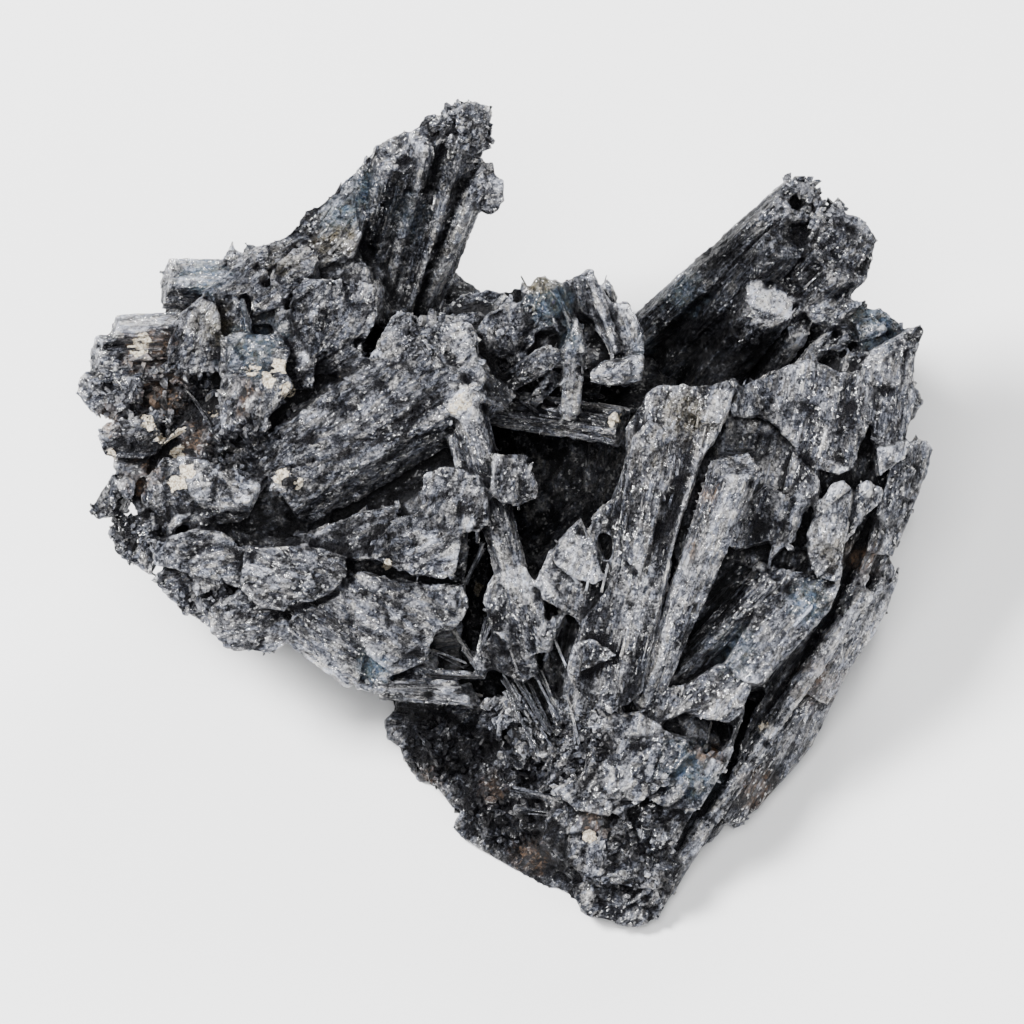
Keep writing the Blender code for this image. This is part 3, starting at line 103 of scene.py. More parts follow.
# How the grain runs elsewhere: a spot on the face, the grain's angle across it, and how striated it is.
GRAIN = (
    (-12.0, 21.5, 50, 0.7), (-14.5, 17.8, 30, 0.4), (-18.5, 16.5, 35, 0.7), (-19.5, 14.2, 60, 0.5),
    (-12.5, 14.5, 75, 0.15), (-22.0, 12.0, 80, 0.15), (-17.5, 11.5, 15, 0.3), (-17.5, 8.0, 80, 0.35),
    (-26.0, 8.0, 20, 0.1), (-27.0, 5.0, 10, 0.2), (-20.5, 2.0, 10, 0.35), (-28.5, 1.5, 80, 0.3),
    (-22.0, -3.0, 10, 0.35), (-15.5, -4.5, -15, 0.25), (-26.5, -2.5, 60, 0.1), (-22.5, -6.0, 30, 0.15),
    (-18.0, -8.5, 10, 0.2), (-13.0, -9.5, -35, 0.6), (-8.0, -7.5, -25, 0.35), (-5.0, -11.5, -5, 0.8),
    (-6.5, -2.0, 30, 0.2), (-4.0, 1.5, 70, 0.2), (0.8, 2.6, 80, 0.15), (-6.5, 12.0, 40, 0.35),
    (-3.0, 11.5, 30, 0.3), (0.0, 13.5, 70, 0.4), (3.0, 15.0, 65, 0.6), (6.0, 15.5, 105, 0.7),
    (8.8, 13.5, 110, 0.6), (8.0, 10.2, 20, 0.4), (-2.5, 15.4, 20, 0.4), (24.2, 20.0, 45, 0.5),
    (25.5, 14.3, 25, 0.3), (21.0, 22.5, 45, 0.5), (19.5, 8.6, 75, 0.6), (23.5, 7.5, 85, 0.6),
    (27.8, 8.0, 80, 0.7), (21.0, 1.0, 65, 0.6), (23.3, -1.5, 80, 0.5), (20.0, -7.5, 55, 0.8),
    (12.5, 7.5, 80, 0.5), (10.5, 2.0, 78, 0.7), (9.0, -5.0, 80, 0.7), (7.0, -10.5, 85, 0.5),
    (5.3, -3.2, 60, 0.4), (1.0, -6.5, 75, 0.4), (17.8, 0.0, 65, 0.5), (13.5, -12.8, 50, 0.6),
    (8.0, -17.0, 70, 0.1), (13.5, -19.0, 60, 0.1), (7.5, -23.5, 70, 0.05), (8.0, -28.0, 60, 0.05),
    (0.5, -10.5, -50, 0.3), (-4.0, -17.5, 40, 0.1), (1.0, -23.0, 50, 0.1), (24.0, -9.0, 55, 0.7),
    (18.5, -18.5, 55, 0.5), (29.0, 2.5, 75, 0.6), (2.0, -17.0, 40, 0.1),
)

# Coloured patches: a spot on the face, how far it reaches, and how strong it is.
BLUE = (
    (-21.7, 17.4, 1.9, 0.9), (-18.0, 12.0, 2.2, 0.6), (-11.8, 21.4, 1.4, 0.9), (-10.5, 23.0, 1.6, 0.5),
    (3.0, 15.4, 1.6, 0.9), (9.8, 12.2, 0.9, 0.8), (21.6, -6.0, 1.5, 0.9), (-9.3, -10.9, 1.3, 0.8),
    (13.2, -18.2, 2.2, 0.6), (26.6, 13.6, 1.8, 0.5), (-7.0, 21.5, 1.6, 0.4), (16.0, -9.5, 2.0, 0.4),
    (4.6, 12.6, 1.0, 0.6), (12.5, 16.0, 1.6, 0.4),
)
GOLD = (
    (-11.6, 20.0, 1.3, 0.8), (2.4, 16.4, 1.3, 0.9), (12.8, 7.0, 2.3, 0.5), (-15.6, 18.2, 1.4, 0.4),
    (-20.8, 13.6, 1.6, 0.6), (23.2, -2.5, 1.6, 0.3), (-12.8, 19.4, 1.5, 0.5), (10.5, 4.0, 1.6, 0.25),
)
RUST = (
    (-28.4, 6.8, 1.1, 0.8), (-22.2, 5.3, 1.2, 0.7), (-25.8, 2.6, 1.3, 0.6), (14.3, -17.0, 1.1, 0.8),
    (6.2, -21.8, 1.1, 0.8), (14.0, 1.5, 0.9, 0.7), (13.0, -2.5, 0.8, 0.6), (-1.0, -19.5, 1.2, 0.35),
    (-26.0, 12.0, 1.8, 0.7), (25.6, -3.2, 1.5, 0.6), (22.5, -12.0, 2.0, 0.5), (-24.5, 8.5, 1.8, 0.6),
    (18.2, -19.6, 1.8, 0.5), (1.6, -24.6, 1.4, 0.35), (-5.6, -19.0, 1.2, 0.3), (-18.5, 8.4, 1.4, 0.4),
)
CREAM = (
    (-16.9, 9.6, 0.8, 1.0), (-16.1, 10.6, 0.7, 1.0), (-15.7, 8.9, 0.6, 0.8), (-18.0, 10.2, 0.6, 0.7),
    (-28.1, 4.3, 0.4, 1.0), (-23.6, 2.3, 0.7, 1.0), (-22.7, 3.2, 0.5, 1.0), (-23.4, 4.6, 0.5, 0.8),
    (-15.9, 2.9, 0.5, 0.8), (-14.9, 2.2, 0.4, 0.8), (-8.5, -3.5, 0.35, 0.9), (-2.0, -5.3, 0.5, 0.9),
    (5.9, -22.9, 0.4, 1.0), (18.5, -15.0, 0.4, 0.8), (-26.0, 12.3, 0.9, 0.8), (-3.3, 7.8, 0.9, 0.7),
    (7.8, 6.9, 0.5, 1.0), (-25.6, 6.6, 0.5, 0.7), (-24.6, 5.4, 0.4, 0.8), (-21.0, 7.4, 0.4, 0.7),
)

# Painted light and shade in broad patches: a spot on the face, how far it reaches, and how much lighter it
# is.
PAINTED_LIGHT_AND_SHADE = (
    (-6.8, -14.6, 2.8, -0.5), (-4.0, -17.4, 2.8, -0.5), (-1.0, -20.6, 2.8, -0.5),
    (1.6, -24.0, 2.6, -0.5), (3.6, -26.6, 1.8, -0.4), (-1.4, -15.4, 2.0, -0.35), (1.4, -18.6, 1.8, -0.3),
    (12.4, 13.8, 2.6, -0.8), (15.4, 11.8, 2.4, -0.8), (18.4, 11.6, 1.8, -0.6), (20.8, 7.2, 1.5, -0.4),
    (20.5, 3.4, 1.6, -0.5), (-15.0, -1.2, 1.5, -0.5), (-11.6, -1.8, 1.4, -0.5), (-8.4, -2.0, 1.3, -0.4),
    (-22.6, 7.6, 1.3, -0.5), (-21.4, 5.2, 1.3, -0.5), (-25.0, 4.2, 1.4, -0.4), (-14.6, 5.4, 1.2, -0.4),
    (-13.4, 24.0, 2.0, -0.4), (14.8, 19.6, 2.6, -0.3), (-28.6, 0.6, 1.8, -0.3), (18.4, -1.4, 1.6, -0.7),
    (15.6, -5.6, 1.4, -0.6), (13.0, -8.8, 1.2, -0.5), (1.0, -5.0, 3.2, 0.35), (5.0, -3.6, 2.8, 0.15),
    (9.0, -5.0, 3.2, 0.35), (8.0, -10.6, 3.0, 0.35), (3.4, -9.4, 2.4, 0.3), (6.0, -10.0, 1.4, -0.5),
    (-4.2, 21.4, 2.0, 0.3), (-5.4, 17.6, 1.8, 0.2), (26.0, -8.6, 2.6, 0.35), (24.4, -13.0, 2.6, 0.35),
    (21.6, -17.2, 2.4, 0.3), (1.4, 7.8, 1.5, 0.4), (4.6, 7.1, 1.5, 0.4), (7.4, 6.7, 1.2, 0.3),
    (-8.4, 11.6, 1.6, 0.3), (15.4, 17.0, 3.2, -0.3), (22.6, 18.0, 2.6, -0.3), (9.6, 10.2, 0.9, 0.6),
    (-16.6, 1.9, 0.8, 0.8), (-3.4, 7.6, 1.3, 0.7), (14.4, 7.6, 1.6, 0.4), (27.6, 10.0, 1.6, 0.3),
    (-12.2, -10.2, 1.8, 0.3),
)

# Clean flat faces that catch the light: their corners on the face, and how much lighter they are.
FLATS = (
    (((17.3, 14.9), (18.5, 14.5), (20.3, 14.1), (20.9, 14.4), (21.0, 15.4), (18.1, 16.7), (17.1, 16.4)), 0.9),
    (((-24.3, 16.8), (-23.4, 16.2), (-19.9, 16.6), (-19.3, 18.1), (-20.3, 18.5), (-24.0, 18.4)), 0.35),
    (((-19.6, 1.8), (-18.3, 0.5), (-16.7, 1.1), (-17.7, 2.4), (-21.0, 3.4)), 0.5),
    (((8.3, 14.5), (9.3, 13.2), (9.4, 14.1), (9.0, 15.4), (8.0, 15.9)), 0.6),
    (((-4.1, 7.5), (-3.1, 6.1), (-2.0, 6.5), (-1.7, 8.2), (-2.7, 9.4), (-4.3, 9.1)), 0.4),
    (((6.7, 8.8), (9.7, 9.4), (9.6, 10.6), (5.5, 10.2)), 0.35),
    (((-27.9, 12.8), (-23.1, 13.5), (-23.6, 14.3), (-28.1, 13.8)), 0.5),
)

# Patches set with small angular crystals: a spot on the face and how far it reaches.
DRUSES = (
    (-26.0, 8.2, 2.8), (-22.6, 9.0, 1.8), (-26.8, -1.6, 1.6), (-19.0, 4.6, 2.2), (-15.8, 2.6, 1.2),
    (2.2, -17.0, 2.6), (-0.4, -14.4, 1.8), (-4.0, -16.6, 2.6), (-0.4, -22.2, 2.2), (-5.2, 12.8, 1.8),
    (-3.0, 27.5, 2.0), (22.0, 22.5, 1.8), (-21.5, -5.5, 1.6), (5.5, -15.5, 2.4), (9.0, -24.0, 3.0),
)

SOCKET = (20.7, 22.2, 2.4)  # the six-sided hole in the great prism's end, on the face

# Needles: foot, tip, half thickness, how far they scatter and how many.
NEEDLES = (
    ((-0.2, -11.4, 1.8), (3.4, -17.0, 2.8), 0.13, 0.25, 5),
    ((0.8, -11.4, 1.8), (3.3, -15.6, 3.1), 0.12, 0.25, 4),
    ((0.2, -12.4, 1.2), (2.6, -17.4, 1.9), 0.14, 0.3, 4),
    ((2.4, -11.0, 2.8), (3.9, -14.6, 3.4), 0.14, 0.2, 3),
    ((3.2, -8.0, 3.2), (4.4, -10.8, 4.3), 0.11, 0.12, 2),
    ((-4.2, -7.4, 1.8), (-2.0, -10.8, 2.9), 0.14, 0.2, 3),
    ((-1.2, -7.4, 2.0), (-1.9, -10.3, 2.6), 0.12, 0.2, 3),
    ((-9.0, -11.4, 1.8), (-1.6, -11.6, 2.1), 0.12, 0.2, 3),
    ((-9.2, -12.2, 2.6), (-3.4, -12.4, 2.9), 0.16, 0.15, 3),
    ((-5.4, -9.6, 0.6), (-2.6, -10.4, 1.2), 0.09, 0.25, 3),
    ((3.8, -20.2, 1.8), (0.4, -19.8, 1.4), 0.14, 0.2, 3),
    ((3.8, -21.4, 1.4), (0.8, -21.0, 1.0), 0.13, 0.2, 3),
    ((-22.6, 8.6, 1.0), (-20.8, 6.6, 1.8), 0.10, 0.3, 3),
    ((-25.8, 4.0, 1.2), (-22.9, 6.2, 1.6), 0.10, 0.3, 3),
    ((-18.0, 11.6, 1.6), (-18.7, 15.3, 3.4), 0.16, 0.1, 2),
    ((15.0, 4.8, 2.6), (18.0, 4.0, 3.6), 0.10, 0.3, 3),
    ((-3.0, -4.8, 2.2), (-1.6, -2.0, 3.2), 0.10, 0.2, 3),
    ((4.6, -13.0, 3.0), (5.0, -16.2, 3.5), 0.12, 0.2, 3),
)


def shown_box():
    """The lowest and the highest corner of what is shown, in metres, as plain lists."""
    return [list(corner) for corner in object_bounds()]


def face_rotation():
    return np.array(Matrix.Rotation(FACE_TILT, 3, "X"))


def to_face(points):
    """World metres to face millimetres."""
    return (points * 1000 - np.array(FACE_CENTRE_MM)) @ face_rotation()


def from_face(points):
    """Face millimetres to world metres."""
    return (points @ face_rotation().T + np.array(FACE_CENTRE_MM)) * 0.001


def hashed(cell, seed):
    """A number from 0 to 1 for each whole-numbered cell."""
    c = cell.astype(np.int64)
    h = c[..., 0] * 374761393 + c[..., 1] * 668265263 + c[..., 2] * 2147483647 + seed * 1274126177
    h = (h ^ (h >> 13)) * 1274126177
    h = (h ^ (h >> 16)) & 0xFFFFFF
    return h / float(0xFFFFFF)


def smooth_noise(q, seed):
    """Noise from -1 to 1 that varies over one unit of q."""
    base = np.floor(q)
    f = q - base
    f = f * f * (3 - 2 * f)
    total = np.zeros(len(q))
    for dx in (0, 1):
        for dy in (0, 1):
            for dz in (0, 1):
                weight = (f[:, 0] if dx else 1 - f[:, 0]) * (f[:, 1] if dy else 1 - f[:, 1])
                weight = weight * (f[:, 2] if dz else 1 - f[:, 2])
                total += weight * hashed(base + (dx, dy, dz), seed)
    return total * 2 - 1


def facets(q, seed):
    """Small tilted flats, one to a cell of about one unit, with how far its edge is and its number."""
    base = np.floor(q)
    best = np.full(len(q), 9.0)
    second = np.full(len(q), 9.0)
    tilt = np.zeros(len(q))
    own = np.zeros(len(q))
    for dx in (-1, 0, 1):
        for dy in (-1, 0, 1):
            for dz in (-1, 0, 1):
                cell = base + (dx, dy, dz)
                centre = cell + np.stack([hashed(cell, seed + k) for k in (1, 2, 3)], 1)
                lean = np.stack([hashed(cell, seed + k) for k in (4, 5, 6)], 1) * 2 - 1
                away = q - centre
                d = np.abs(away).max(1) * 0.5 + np.sqrt((away ** 2).sum(1)) * 0.5
                here = (away * lean).sum(1) + (hashed(cell, seed + 7) - 0.5) * 0.7
                nearer = d < best
                second = np.where(nearer, best, np.minimum(second, d))
                tilt = np.where(nearer, here, tilt)
                own = np.where(nearer, hashed(cell, seed + 8), own)
                best = np.where(nearer, d, best)
    return tilt, second - best, own


def crystal_coordinates(face):
    """Each point's place on its crystal, how striated it is, how near the end, and the crystal's number."""
    local = np.zeros_like(face)
    striated = np.zeros(len(face))
    ends = np.zeros(len(face))
    nearest = np.full(len(face), 1.3)
    found = np.full(len(face), -1)
    for k, (foot, tip, wide, deep, strength) in enumerate(PRISMS):
        foot, tip = Vector(foot), Vector(tip)
        along = (tip - foot).normalized()
        right = along.cross(Vector((0, 0, 1))).normalized()
        front = right.cross(along)
        length = (tip - foot).length
        away = face - np.array(foot)
        a = away @ np.array(along)
        u = away @ np.array(right)
        v = away @ np.array(front)
        over = np.maximum(a - length - 0.6, 0) + np.maximum(-a, 0)
        e = np.sqrt((u / wide) ** 2 + (v / deep) ** 2) + over
        mine = e < nearest
        nearest[mine] = e[mine]
        found[mine] = k
        local[mine] = np.stack([u, v, a], 1)[mine]
        striated[mine] = strength
        ends[mine] = np.clip((a[mine] - length + 1.6) / 1.6, 0, 1)
    spots = np.array(GRAIN)
    rest = found < 0
    away = face[rest][:, None, :2] - spots[None, :, :2]
    wobble = smooth_noise(face[rest] / 1.7, 71)[:, None] * 1.2
    pick = np.argmin(np.sqrt((away ** 2).sum(2)) + wobble, 1)
    angle = np.radians(spots[pick, 2])
    c, s = np.cos(angle), np.sin(angle)
    x, y, z = face[rest].T
    local[rest] = np.stack([s * x - c * y, z, c * x + s * y], 1)
    striated[rest] = spots[pick, 3]
    found[rest] = ELSEWHERE + pick
    return local, striated, ends, found


def patches(face, spots, seed, feather):
    """How strongly each point is in one of the coloured patches, with a broken edge."""
    strength = np.zeros(len(face))
    torn = smooth_noise(face / 0.9, seed) * 0.35 + smooth_noise(face / 0.33, seed + 1) * 0.35
    for x, y, reach, most in spots:
        d = np.sqrt((face[:, 0] - x) ** 2 + (face[:, 1] - y) ** 2) / reach
        strength = np.maximum(strength, most * np.clip((1.15 + torn - d) / feather, 0, 1))
    return strength


def depth_in_hollows(face):
    """How far each point lies below the surface round it, from 0 on the open face to 1 deep in a pocket: the
    measure for the painted shade in hollows.
    """
    edge = 34
    step = 0.5
    cells = 140
    reach = 5
    col = ((face[:, 0] + edge) / step).astype(int)
    row = ((face[:, 1] + edge) / step).astype(int)
    heights = np.full((cells, cells), -30.0)
    np.maximum.at(heights, (row, col), face[:, 2])
    total = np.zeros_like(heights)
    for dy in range(-reach, reach + 1):
        for dx in range(-reach, reach + 1):
            total += np.roll(np.roll(heights, dy, 0), dx, 1).clip(-12, None)
    around = total / (2 * reach + 1) ** 2
    return np.clip((around[row, col] - face[:, 2] - 1.0) / 4.5, 0, 1)


def sunken(mesh, places, normals, rounds):
    """How far each vertex lies below its smoothed surroundings, in millimetres: negative on an edge."""
    count = len(places)
    ends = np.empty(len(mesh.edges) * 2, dtype=np.int32)
    mesh.edges.foreach_get("vertices", ends)
    a, b = ends[::2], ends[1::2]
    degree = np.maximum(np.bincount(a, minlength=count) + np.bincount(b, minlength=count), 1)
    smooth = places.T.copy()
    for _ in range(rounds):
        for axis in range(3):
            values = smooth[axis]
            sums = np.bincount(a, values[b], count) + np.bincount(b, values[a], count)
            smooth[axis] = sums / degree
    return ((smooth.T - places) * normals).sum(1) * 1000


def remeshed(node):
    """A copy of the CAD solid's mesh, made again from fine, even quads."""
    copy = node.copy()
    copy.data = node.data.copy()
    bpy.context.scene.collection.objects.link(copy)
    copy.parent = None
    fine = copy.modifiers.new("fine", "REMESH")
    fine.mode = "VOXEL"
    fine.voxel_size = VOXEL
    mesh = bpy.data.meshes.new_from_object(copy.evaluated_get(bpy.context.evaluated_depsgraph_get()))
    bpy.data.objects.remove(copy)
    return mesh


def socket(face):
    """The six-sided hole with a low rim in the great prism's end, as a move in or out of the surface."""
    x, y, z = (face - np.array(SOCKET)).T
    turn = [abs(x * math.cos(math.radians(a)) + y * math.sin(math.radians(a))) for a in (20, 80, 140)]
    d = np.max(turn, 0)
    near = (np.abs(z) < 2.5) & (d < 1.1)
    move = np.where(d < 0.45, -0.8, np.where(d < 0.8, 0.10, 0.0))
    return np.where(near, move, 0.0)


def striations(q):
    """The lines along a prism, from fine to broad, as moves in millimetres, and how light they are."""
    fine = 1 - np.abs(smooth_noise(q / (0.42, 0.42, 9.0), 3)) * 2
    mid = smooth_noise(q / (0.85, 0.85, 14.0), 5)
    broad = smooth_noise(q / (1.9, 1.9, 22.0), 7)
    breaks = smooth_noise(q / (1.4, 1.4, 0.8), 9)
    move = 0.07 * fine + 0.16 * mid + 0.20 * broad + 0.05 * breaks
    return move, 0.5 + 0.22 * mid + 0.16 * broad


def broken_faces(face, q):
    """Tilted facets of three sizes with cracks between them: the moves, the lightness and the cracks."""
    warp = np.stack([smooth_noise(face / 2.2, s) for s in (21, 22, 23)], 1) * 0.7
    big, big_edge, big_tone = facets((q * (1, 1, 0.6) + warp) / 2.3, 31)
    mid, mid_edge, mid_tone = facets((q * (1, 1, 0.7) + warp * 0.5) / 1.05, 41)
    small, _, small_tone = facets(q * (1, 1, 0.8) / 0.5, 51)
    cracks = np.exp(-big_edge * 20) + 0.6 * np.exp(-mid_edge * 20)
    move = 0.16 * big + 0.11 * mid + 0.05 * small - 0.09 * cracks
    return move, 0.35 * big_tone + 0.35 * mid_tone + 0.3 * small_tone, cracks


def roughness(face, striated, ends):
    """How broken the surface is, from 0.12 on a clean striated side to 1 on a grainy end."""
    rough = np.maximum(1 - striated, ends * 0.6)
    patchy = np.clip(smooth_noise(face / 3.0, 61) * 0.9 + 0.15, 0, 1)
    return np.clip(rough + patchy * 0.25, 0.12, 1)


def painted_edge_highlight_and_crease_shade(mesh, places, moved, normals):
    """Painted shade in creases and painted highlight on edges at each vertex, from 0 in a cavity past 0.5 on
    a flat to 1 on an edge.
    """
    near = sunken(mesh, moved, normals, 14)
    far = sunken(mesh, places, normals, 60)
    edge_highlight_crease_shade = 0.5 - near * 2.6 - far * 0.32
    return np.clip(np.where(edge_highlight_crease_shade > 0.5, 0.5 + (edge_highlight_crease_shade - 0.5) * 0.6, edge_highlight_crease_shade), 0, 1)


def lightness(face, tone_and_painted_light):
    """The lightness given, with clouds, the broad patches of painted light and shade and the painted
    highlights on the clean flat faces added to it.
    """
    clouds = smooth_noise(face / 3.7, 91) * 0.6 + smooth_noise(face / 1.6, 92) * 0.4
    tone_and_painted_light = tone_and_painted_light + 0.20 * clouds
    torn = 0.22 * smooth_noise(face / 0.8, 94)
    for x, y, reach, lighter in PAINTED_LIGHT_AND_SHADE:
        d = np.hypot(face[:, 0] - x, face[:, 1] - y) / reach
        tone_and_painted_light += lighter * np.clip((1.3 + torn - d) / 0.9, 0, 1) * (face[:, 2] > -12)
    # painted highlights on the clean flat faces that catch the light
    for corners, lighter in FLATS:
        inside = face[:, 2] > -6
        for k, (x, y) in enumerate(corners):
            dx, dy = np.array(corners[(k + 1) % len(corners)]) - (x, y)
            inside &= (face[:, 1] - y) * dx - (face[:, 0] - x) * dy > 0
        tone_and_painted_light[inside] = 0.7 * tone_and_painted_light[inside] + lighter
    return np.clip(tone_and_painted_light, -0.8, 1.6)


def tints(face):
    """How blue, golden, rusty and cream-crusted each point is. Only rust reaches the deep back."""
    in_front = np.clip((face[:, 2] + 11) / 3, 0, 1)
    return {"blue": patches(face, BLUE, 81, 0.9) * in_front, "gold": patches(face, GOLD, 83, 0.9) * in_front,
            "rust": patches(face, RUST, 85, 0.8), "cream": patches(face, CREAM, 87, 0.35) * in_front}


def relief(mesh, low, high):
    """Works striations, facets, grains and pits into the surface, and writes what the material needs."""
    count = len(mesh.vertices)
    places = np.empty(count * 3)
    normals = np.empty(count * 3)
    mesh.vertices.foreach_get("co", places)
    mesh.vertices.foreach_get("normal", normals)
    places = places.reshape(-1, 3)
    normals = normals.reshape(-1, 3)
    face = to_face(places)
    local, striated, ends, found = crystal_coordinates(face)
    q = local + np.stack([found * 7.3, found * 3.1, found * 1.7], 1)

    lined, lined_light = striations(q)
    broken, broken_light, cracks = broken_faces(face, q)
    rough = roughness(face, striated, ends)
    grains = smooth_noise(face / 0.33, 63) * 0.05
    pits = -0.5 * np.clip(smooth_noise(face / 1.1, 65) - 0.52, 0, 1)
    move = lined * (1.1 - rough) + broken * rough + grains + pits - 0.06
    move += socket(face)
    move = move * np.clip(places[:, 2] * 1000 / 0.8, 0, 1)
    moved = places + normals * (move * 0.001)[:, None]
    moved = np.clip(moved, np.array(low) + BOX_MARGIN * np.array((1, 1, 0)), np.array(high) - BOX_MARGIN)
    resting = places[:, 2] < 0.15e-3
    moved[resting, 2] = places[resting, 2].clip(0, None)
    mesh.vertices.foreach_set("co", moved.reshape(-1))

    tone_and_painted_light = rough * broken_light
    tone_and_painted_light += (1 - rough) * lined_light
    # painted shade in the cracks between facets
    tone_and_painted_light -= 0.45 * cracks * rough
    forward = np.clip((normals @ face_rotation())[:, 2] * 2 + 0.8, 0, 1)
    values = {"grooves": np.clip(0.5 + (move + 0.06) * 1.6, 0, 1),
              # painted highlight on edges and painted shade in creases
              "edge_highlight_crease_shade": painted_edge_highlight_and_crease_shade(mesh, places, moved, normals),
              "tone_and_painted_light": lightness(face, tone_and_painted_light),
              # painted shade: darker the deeper a front-facing point lies in a hollow
              "hollow": depth_in_hollows(face) * forward,
              # where the painted glints are dense
              "sparkle": np.clip(0.35 + 0.7 * smooth_noise(face / 2.4, 93), 0.05, 0.8),
              "striated": 1 - rough, **tints(face)}
    label(mesh, q, values)
    mesh.update()
    return {"face": face, "local": q, "found": found, "normals": normals, "places": moved, "values": values}


def label(mesh, crystal, values):
    """Writes what the materials read at each vertex."""
    layer = mesh.attributes.new("crystal", "FLOAT_VECTOR", "POINT")
    layer.data.foreach_set("vector", np.ascontiguousarray(crystal, dtype=np.float32).reshape(-1))
    for name, numbers in values.items():
        layer = mesh.attributes.new(name, "FLOAT", "POINT")
        layer.data.foreach_set("value", np.ascontiguousarray(numbers, dtype=np.float32))


def shards(name, centres, axes, across, half, wide, deep, slant, source, pick):
    """Many small prisms in one mesh: centres, long axes, side directions and half sizes in metres."""
    count = len(centres)
    third = np.cross(axes, across)
    third /= np.linalg.norm(third, axis=1)[:, None]
    across = np.cross(third, axes)
    corners = []
    for end in (-1, 1):
        for k in range(SHARD_SIDES):
            angle = math.tau * (k + 0.5) / SHARD_SIDES
            c, s = math.cos(angle), math.sin(angle)
            shrink = 1.0 if end < 0 else SHARD_TAPER
            lift = half * end + slant * (end > 0) * c
            corner = centres + axes * lift[:, None]
            corner = corner + across * (wide * c * shrink)[:, None] + third * (deep * s * shrink)[:, None]
            corners.append(corner)
    places = np.stack(corners, 1).reshape(-1, 3)
    foot = list(range(SHARD_SIDES))
    tip = [k + SHARD_SIDES for k in foot]
    following = foot[1:] + foot[:1]
    outline = [(k, next_k, tip[next_k], tip[k]) for k, next_k in zip(foot, following)]
    outline += [tip, foot[::-1]]
    own = 2 * SHARD_SIDES
    faces = [[n * own + k for k in side] for n in range(count) for side in outline]
    mesh = bpy.data.meshes.new(name)
    mesh.from_pydata(places.tolist(), [], faces)
    spread = np.array([(0.1 * k, 0, 0) for k in range(own)])
    local = np.repeat(source["local"][pick], own, 0) + np.tile(spread, (count, 1))
    values = {key: np.repeat(v[pick], own) for key, v in source["values"].items()}
    values["grooves"] = np.clip(values["grooves"], 0.5, 0.7)
    values["edge_highlight_crease_shade"] = np.clip(values["edge_highlight_crease_shade"], 0.45, 0.65)
    values["tone_and_painted_light"] = values["tone_and_painted_light"] + np.repeat(np.random.default_rng(17).normal(0, 0.16, count), own)
    label(mesh, local, values)
    return mesh


def unit(v):
    return v / np.maximum(np.linalg.norm(v, axis=1), 1e-9)[:, None]


def clear_of_box(places, low, high, gap):
    inside = np.all(places > np.array(low) + gap, 1)
    return inside & np.all(places < np.array(high) - gap, 1)


def small_crystals(source, low, high, count):
    """Angular grains that stand on the rough surfaces."""
    chance = np.random.default_rng(5)
    rough = 1 - source["values"]["striated"]
    patchy = np.clip(smooth_noise(source["face"] / 2.1, 95) + 0.25, 0.02, 1)
    druse = np.zeros(len(rough))
    for x, y, reach in DRUSES:
        d = np.hypot(source["face"][:, 0] - x, source["face"][:, 1] - y) / reach
        druse = np.maximum(druse, np.clip(1.4 - d, 0, 1))
    weight = (0.4 * rough ** 2 * patchy + 2.5 * druse) * clear_of_box(source["places"], low, high, 0.7e-3)
    pick = chance.choice(len(rough), count, replace=False, p=weight / weight.sum())
    normals = source["normals"][pick]
    axes = unit(normals + chance.normal(0, 0.55, (count, 3)))
    across = unit(np.cross(axes, chance.normal(0, 1, (count, 3))))
    size = (0.10 + 0.22 * chance.random(count) ** 2 + 0.16 * druse[pick] * chance.random(count)) * 1e-3
    half = size * chance.uniform(0.8, 1.7, count)
    centres = source["places"][pick] + normals * (half * 0.15)[:, None]
    deep = size * chance.uniform(0.5, 1.0, count)
    slant = size * chance.uniform(-0.7, 0.7, count)
    return shards("small_crystals", centres, axes, across, half, size, deep, slant, source, pick)


def laths(source, low, high, count):
    """Thin laths that lie along the striations, a little proud of the prisms."""
    chance = np.random.default_rng(6)
    flat = np.abs(source["values"]["edge_highlight_crease_shade"] - 0.5) < 0.2
    weight = np.clip(source["values"]["striated"] - 0.4, 0, 1) * flat
    weight = weight * clear_of_box(source["places"], low, high, 1.2e-3)
    pick = chance.choice(len(weight), count, replace=False, p=weight / weight.sum())
    normals = source["normals"][pick]
    ways = np.zeros((count, 3))
    for n, k in enumerate(source["found"][pick]):
        if k < ELSEWHERE:
            foot, tip = PRISMS[k][0], PRISMS[k][1]
            ways[n] = np.array(tip) - np.array(foot)
        else:
            angle = math.radians(GRAIN[k - ELSEWHERE][2])
            ways[n] = (math.cos(angle), math.sin(angle), 0)
    axes = unit(unit(ways @ face_rotation().T) + chance.normal(0, 0.035, (count, 3)))
    axes = unit(axes - normals * (axes * normals).sum(1)[:, None] * 0.9)
    across = unit(np.cross(normals, axes))
    half = chance.uniform(0.25, 1.1, count) * 1e-3
    wide = chance.uniform(0.06, 0.17, count) * 1e-3
    centres = source["places"][pick] - normals * (wide * 0.45)[:, None]
    deep = wide * chance.uniform(0.6, 1.3, count)
    slant = wide * chance.uniform(-2, 2, count)
    return shards("laths", centres, axes, across, half, wide, deep, slant, source, pick)


def needles(source):
    """The fan of fine needles in the pocket below the plates, and other needles that bridge small gaps."""
    chance = np.random.default_rng(7)
    centres, axes, half, wide = [], [], [], []
    for foot, tip, thick, spread, number in NEEDLES:
        for _ in range(number):
            a = np.array(foot) + chance.normal(0, spread, 3)
            b = np.array(tip) + chance.normal(0, spread, 3)
            centres.append((a + b) / 2)
            axes.append(b - a)
            half.append(np.linalg.norm(b - a) / 2)
            wide.append(thick * chance.uniform(0.6, 1.3))
    centres = from_face(np.array(centres))
    axes = unit(np.array(axes) @ face_rotation().T)
    across = unit(np.cross(axes, np.array((0.3, 0.2, 1.0))))
    pick = [int(np.argmin(((source["places"] - c) ** 2).sum(1))) for c in centres]
    half = np.array(half) * 1e-3
    wide = np.array(wide) * 1e-3
    deep = wide * 0.8
    return shards("needles", centres, axes, across, half, wide, deep, deep, source, np.array(pick))


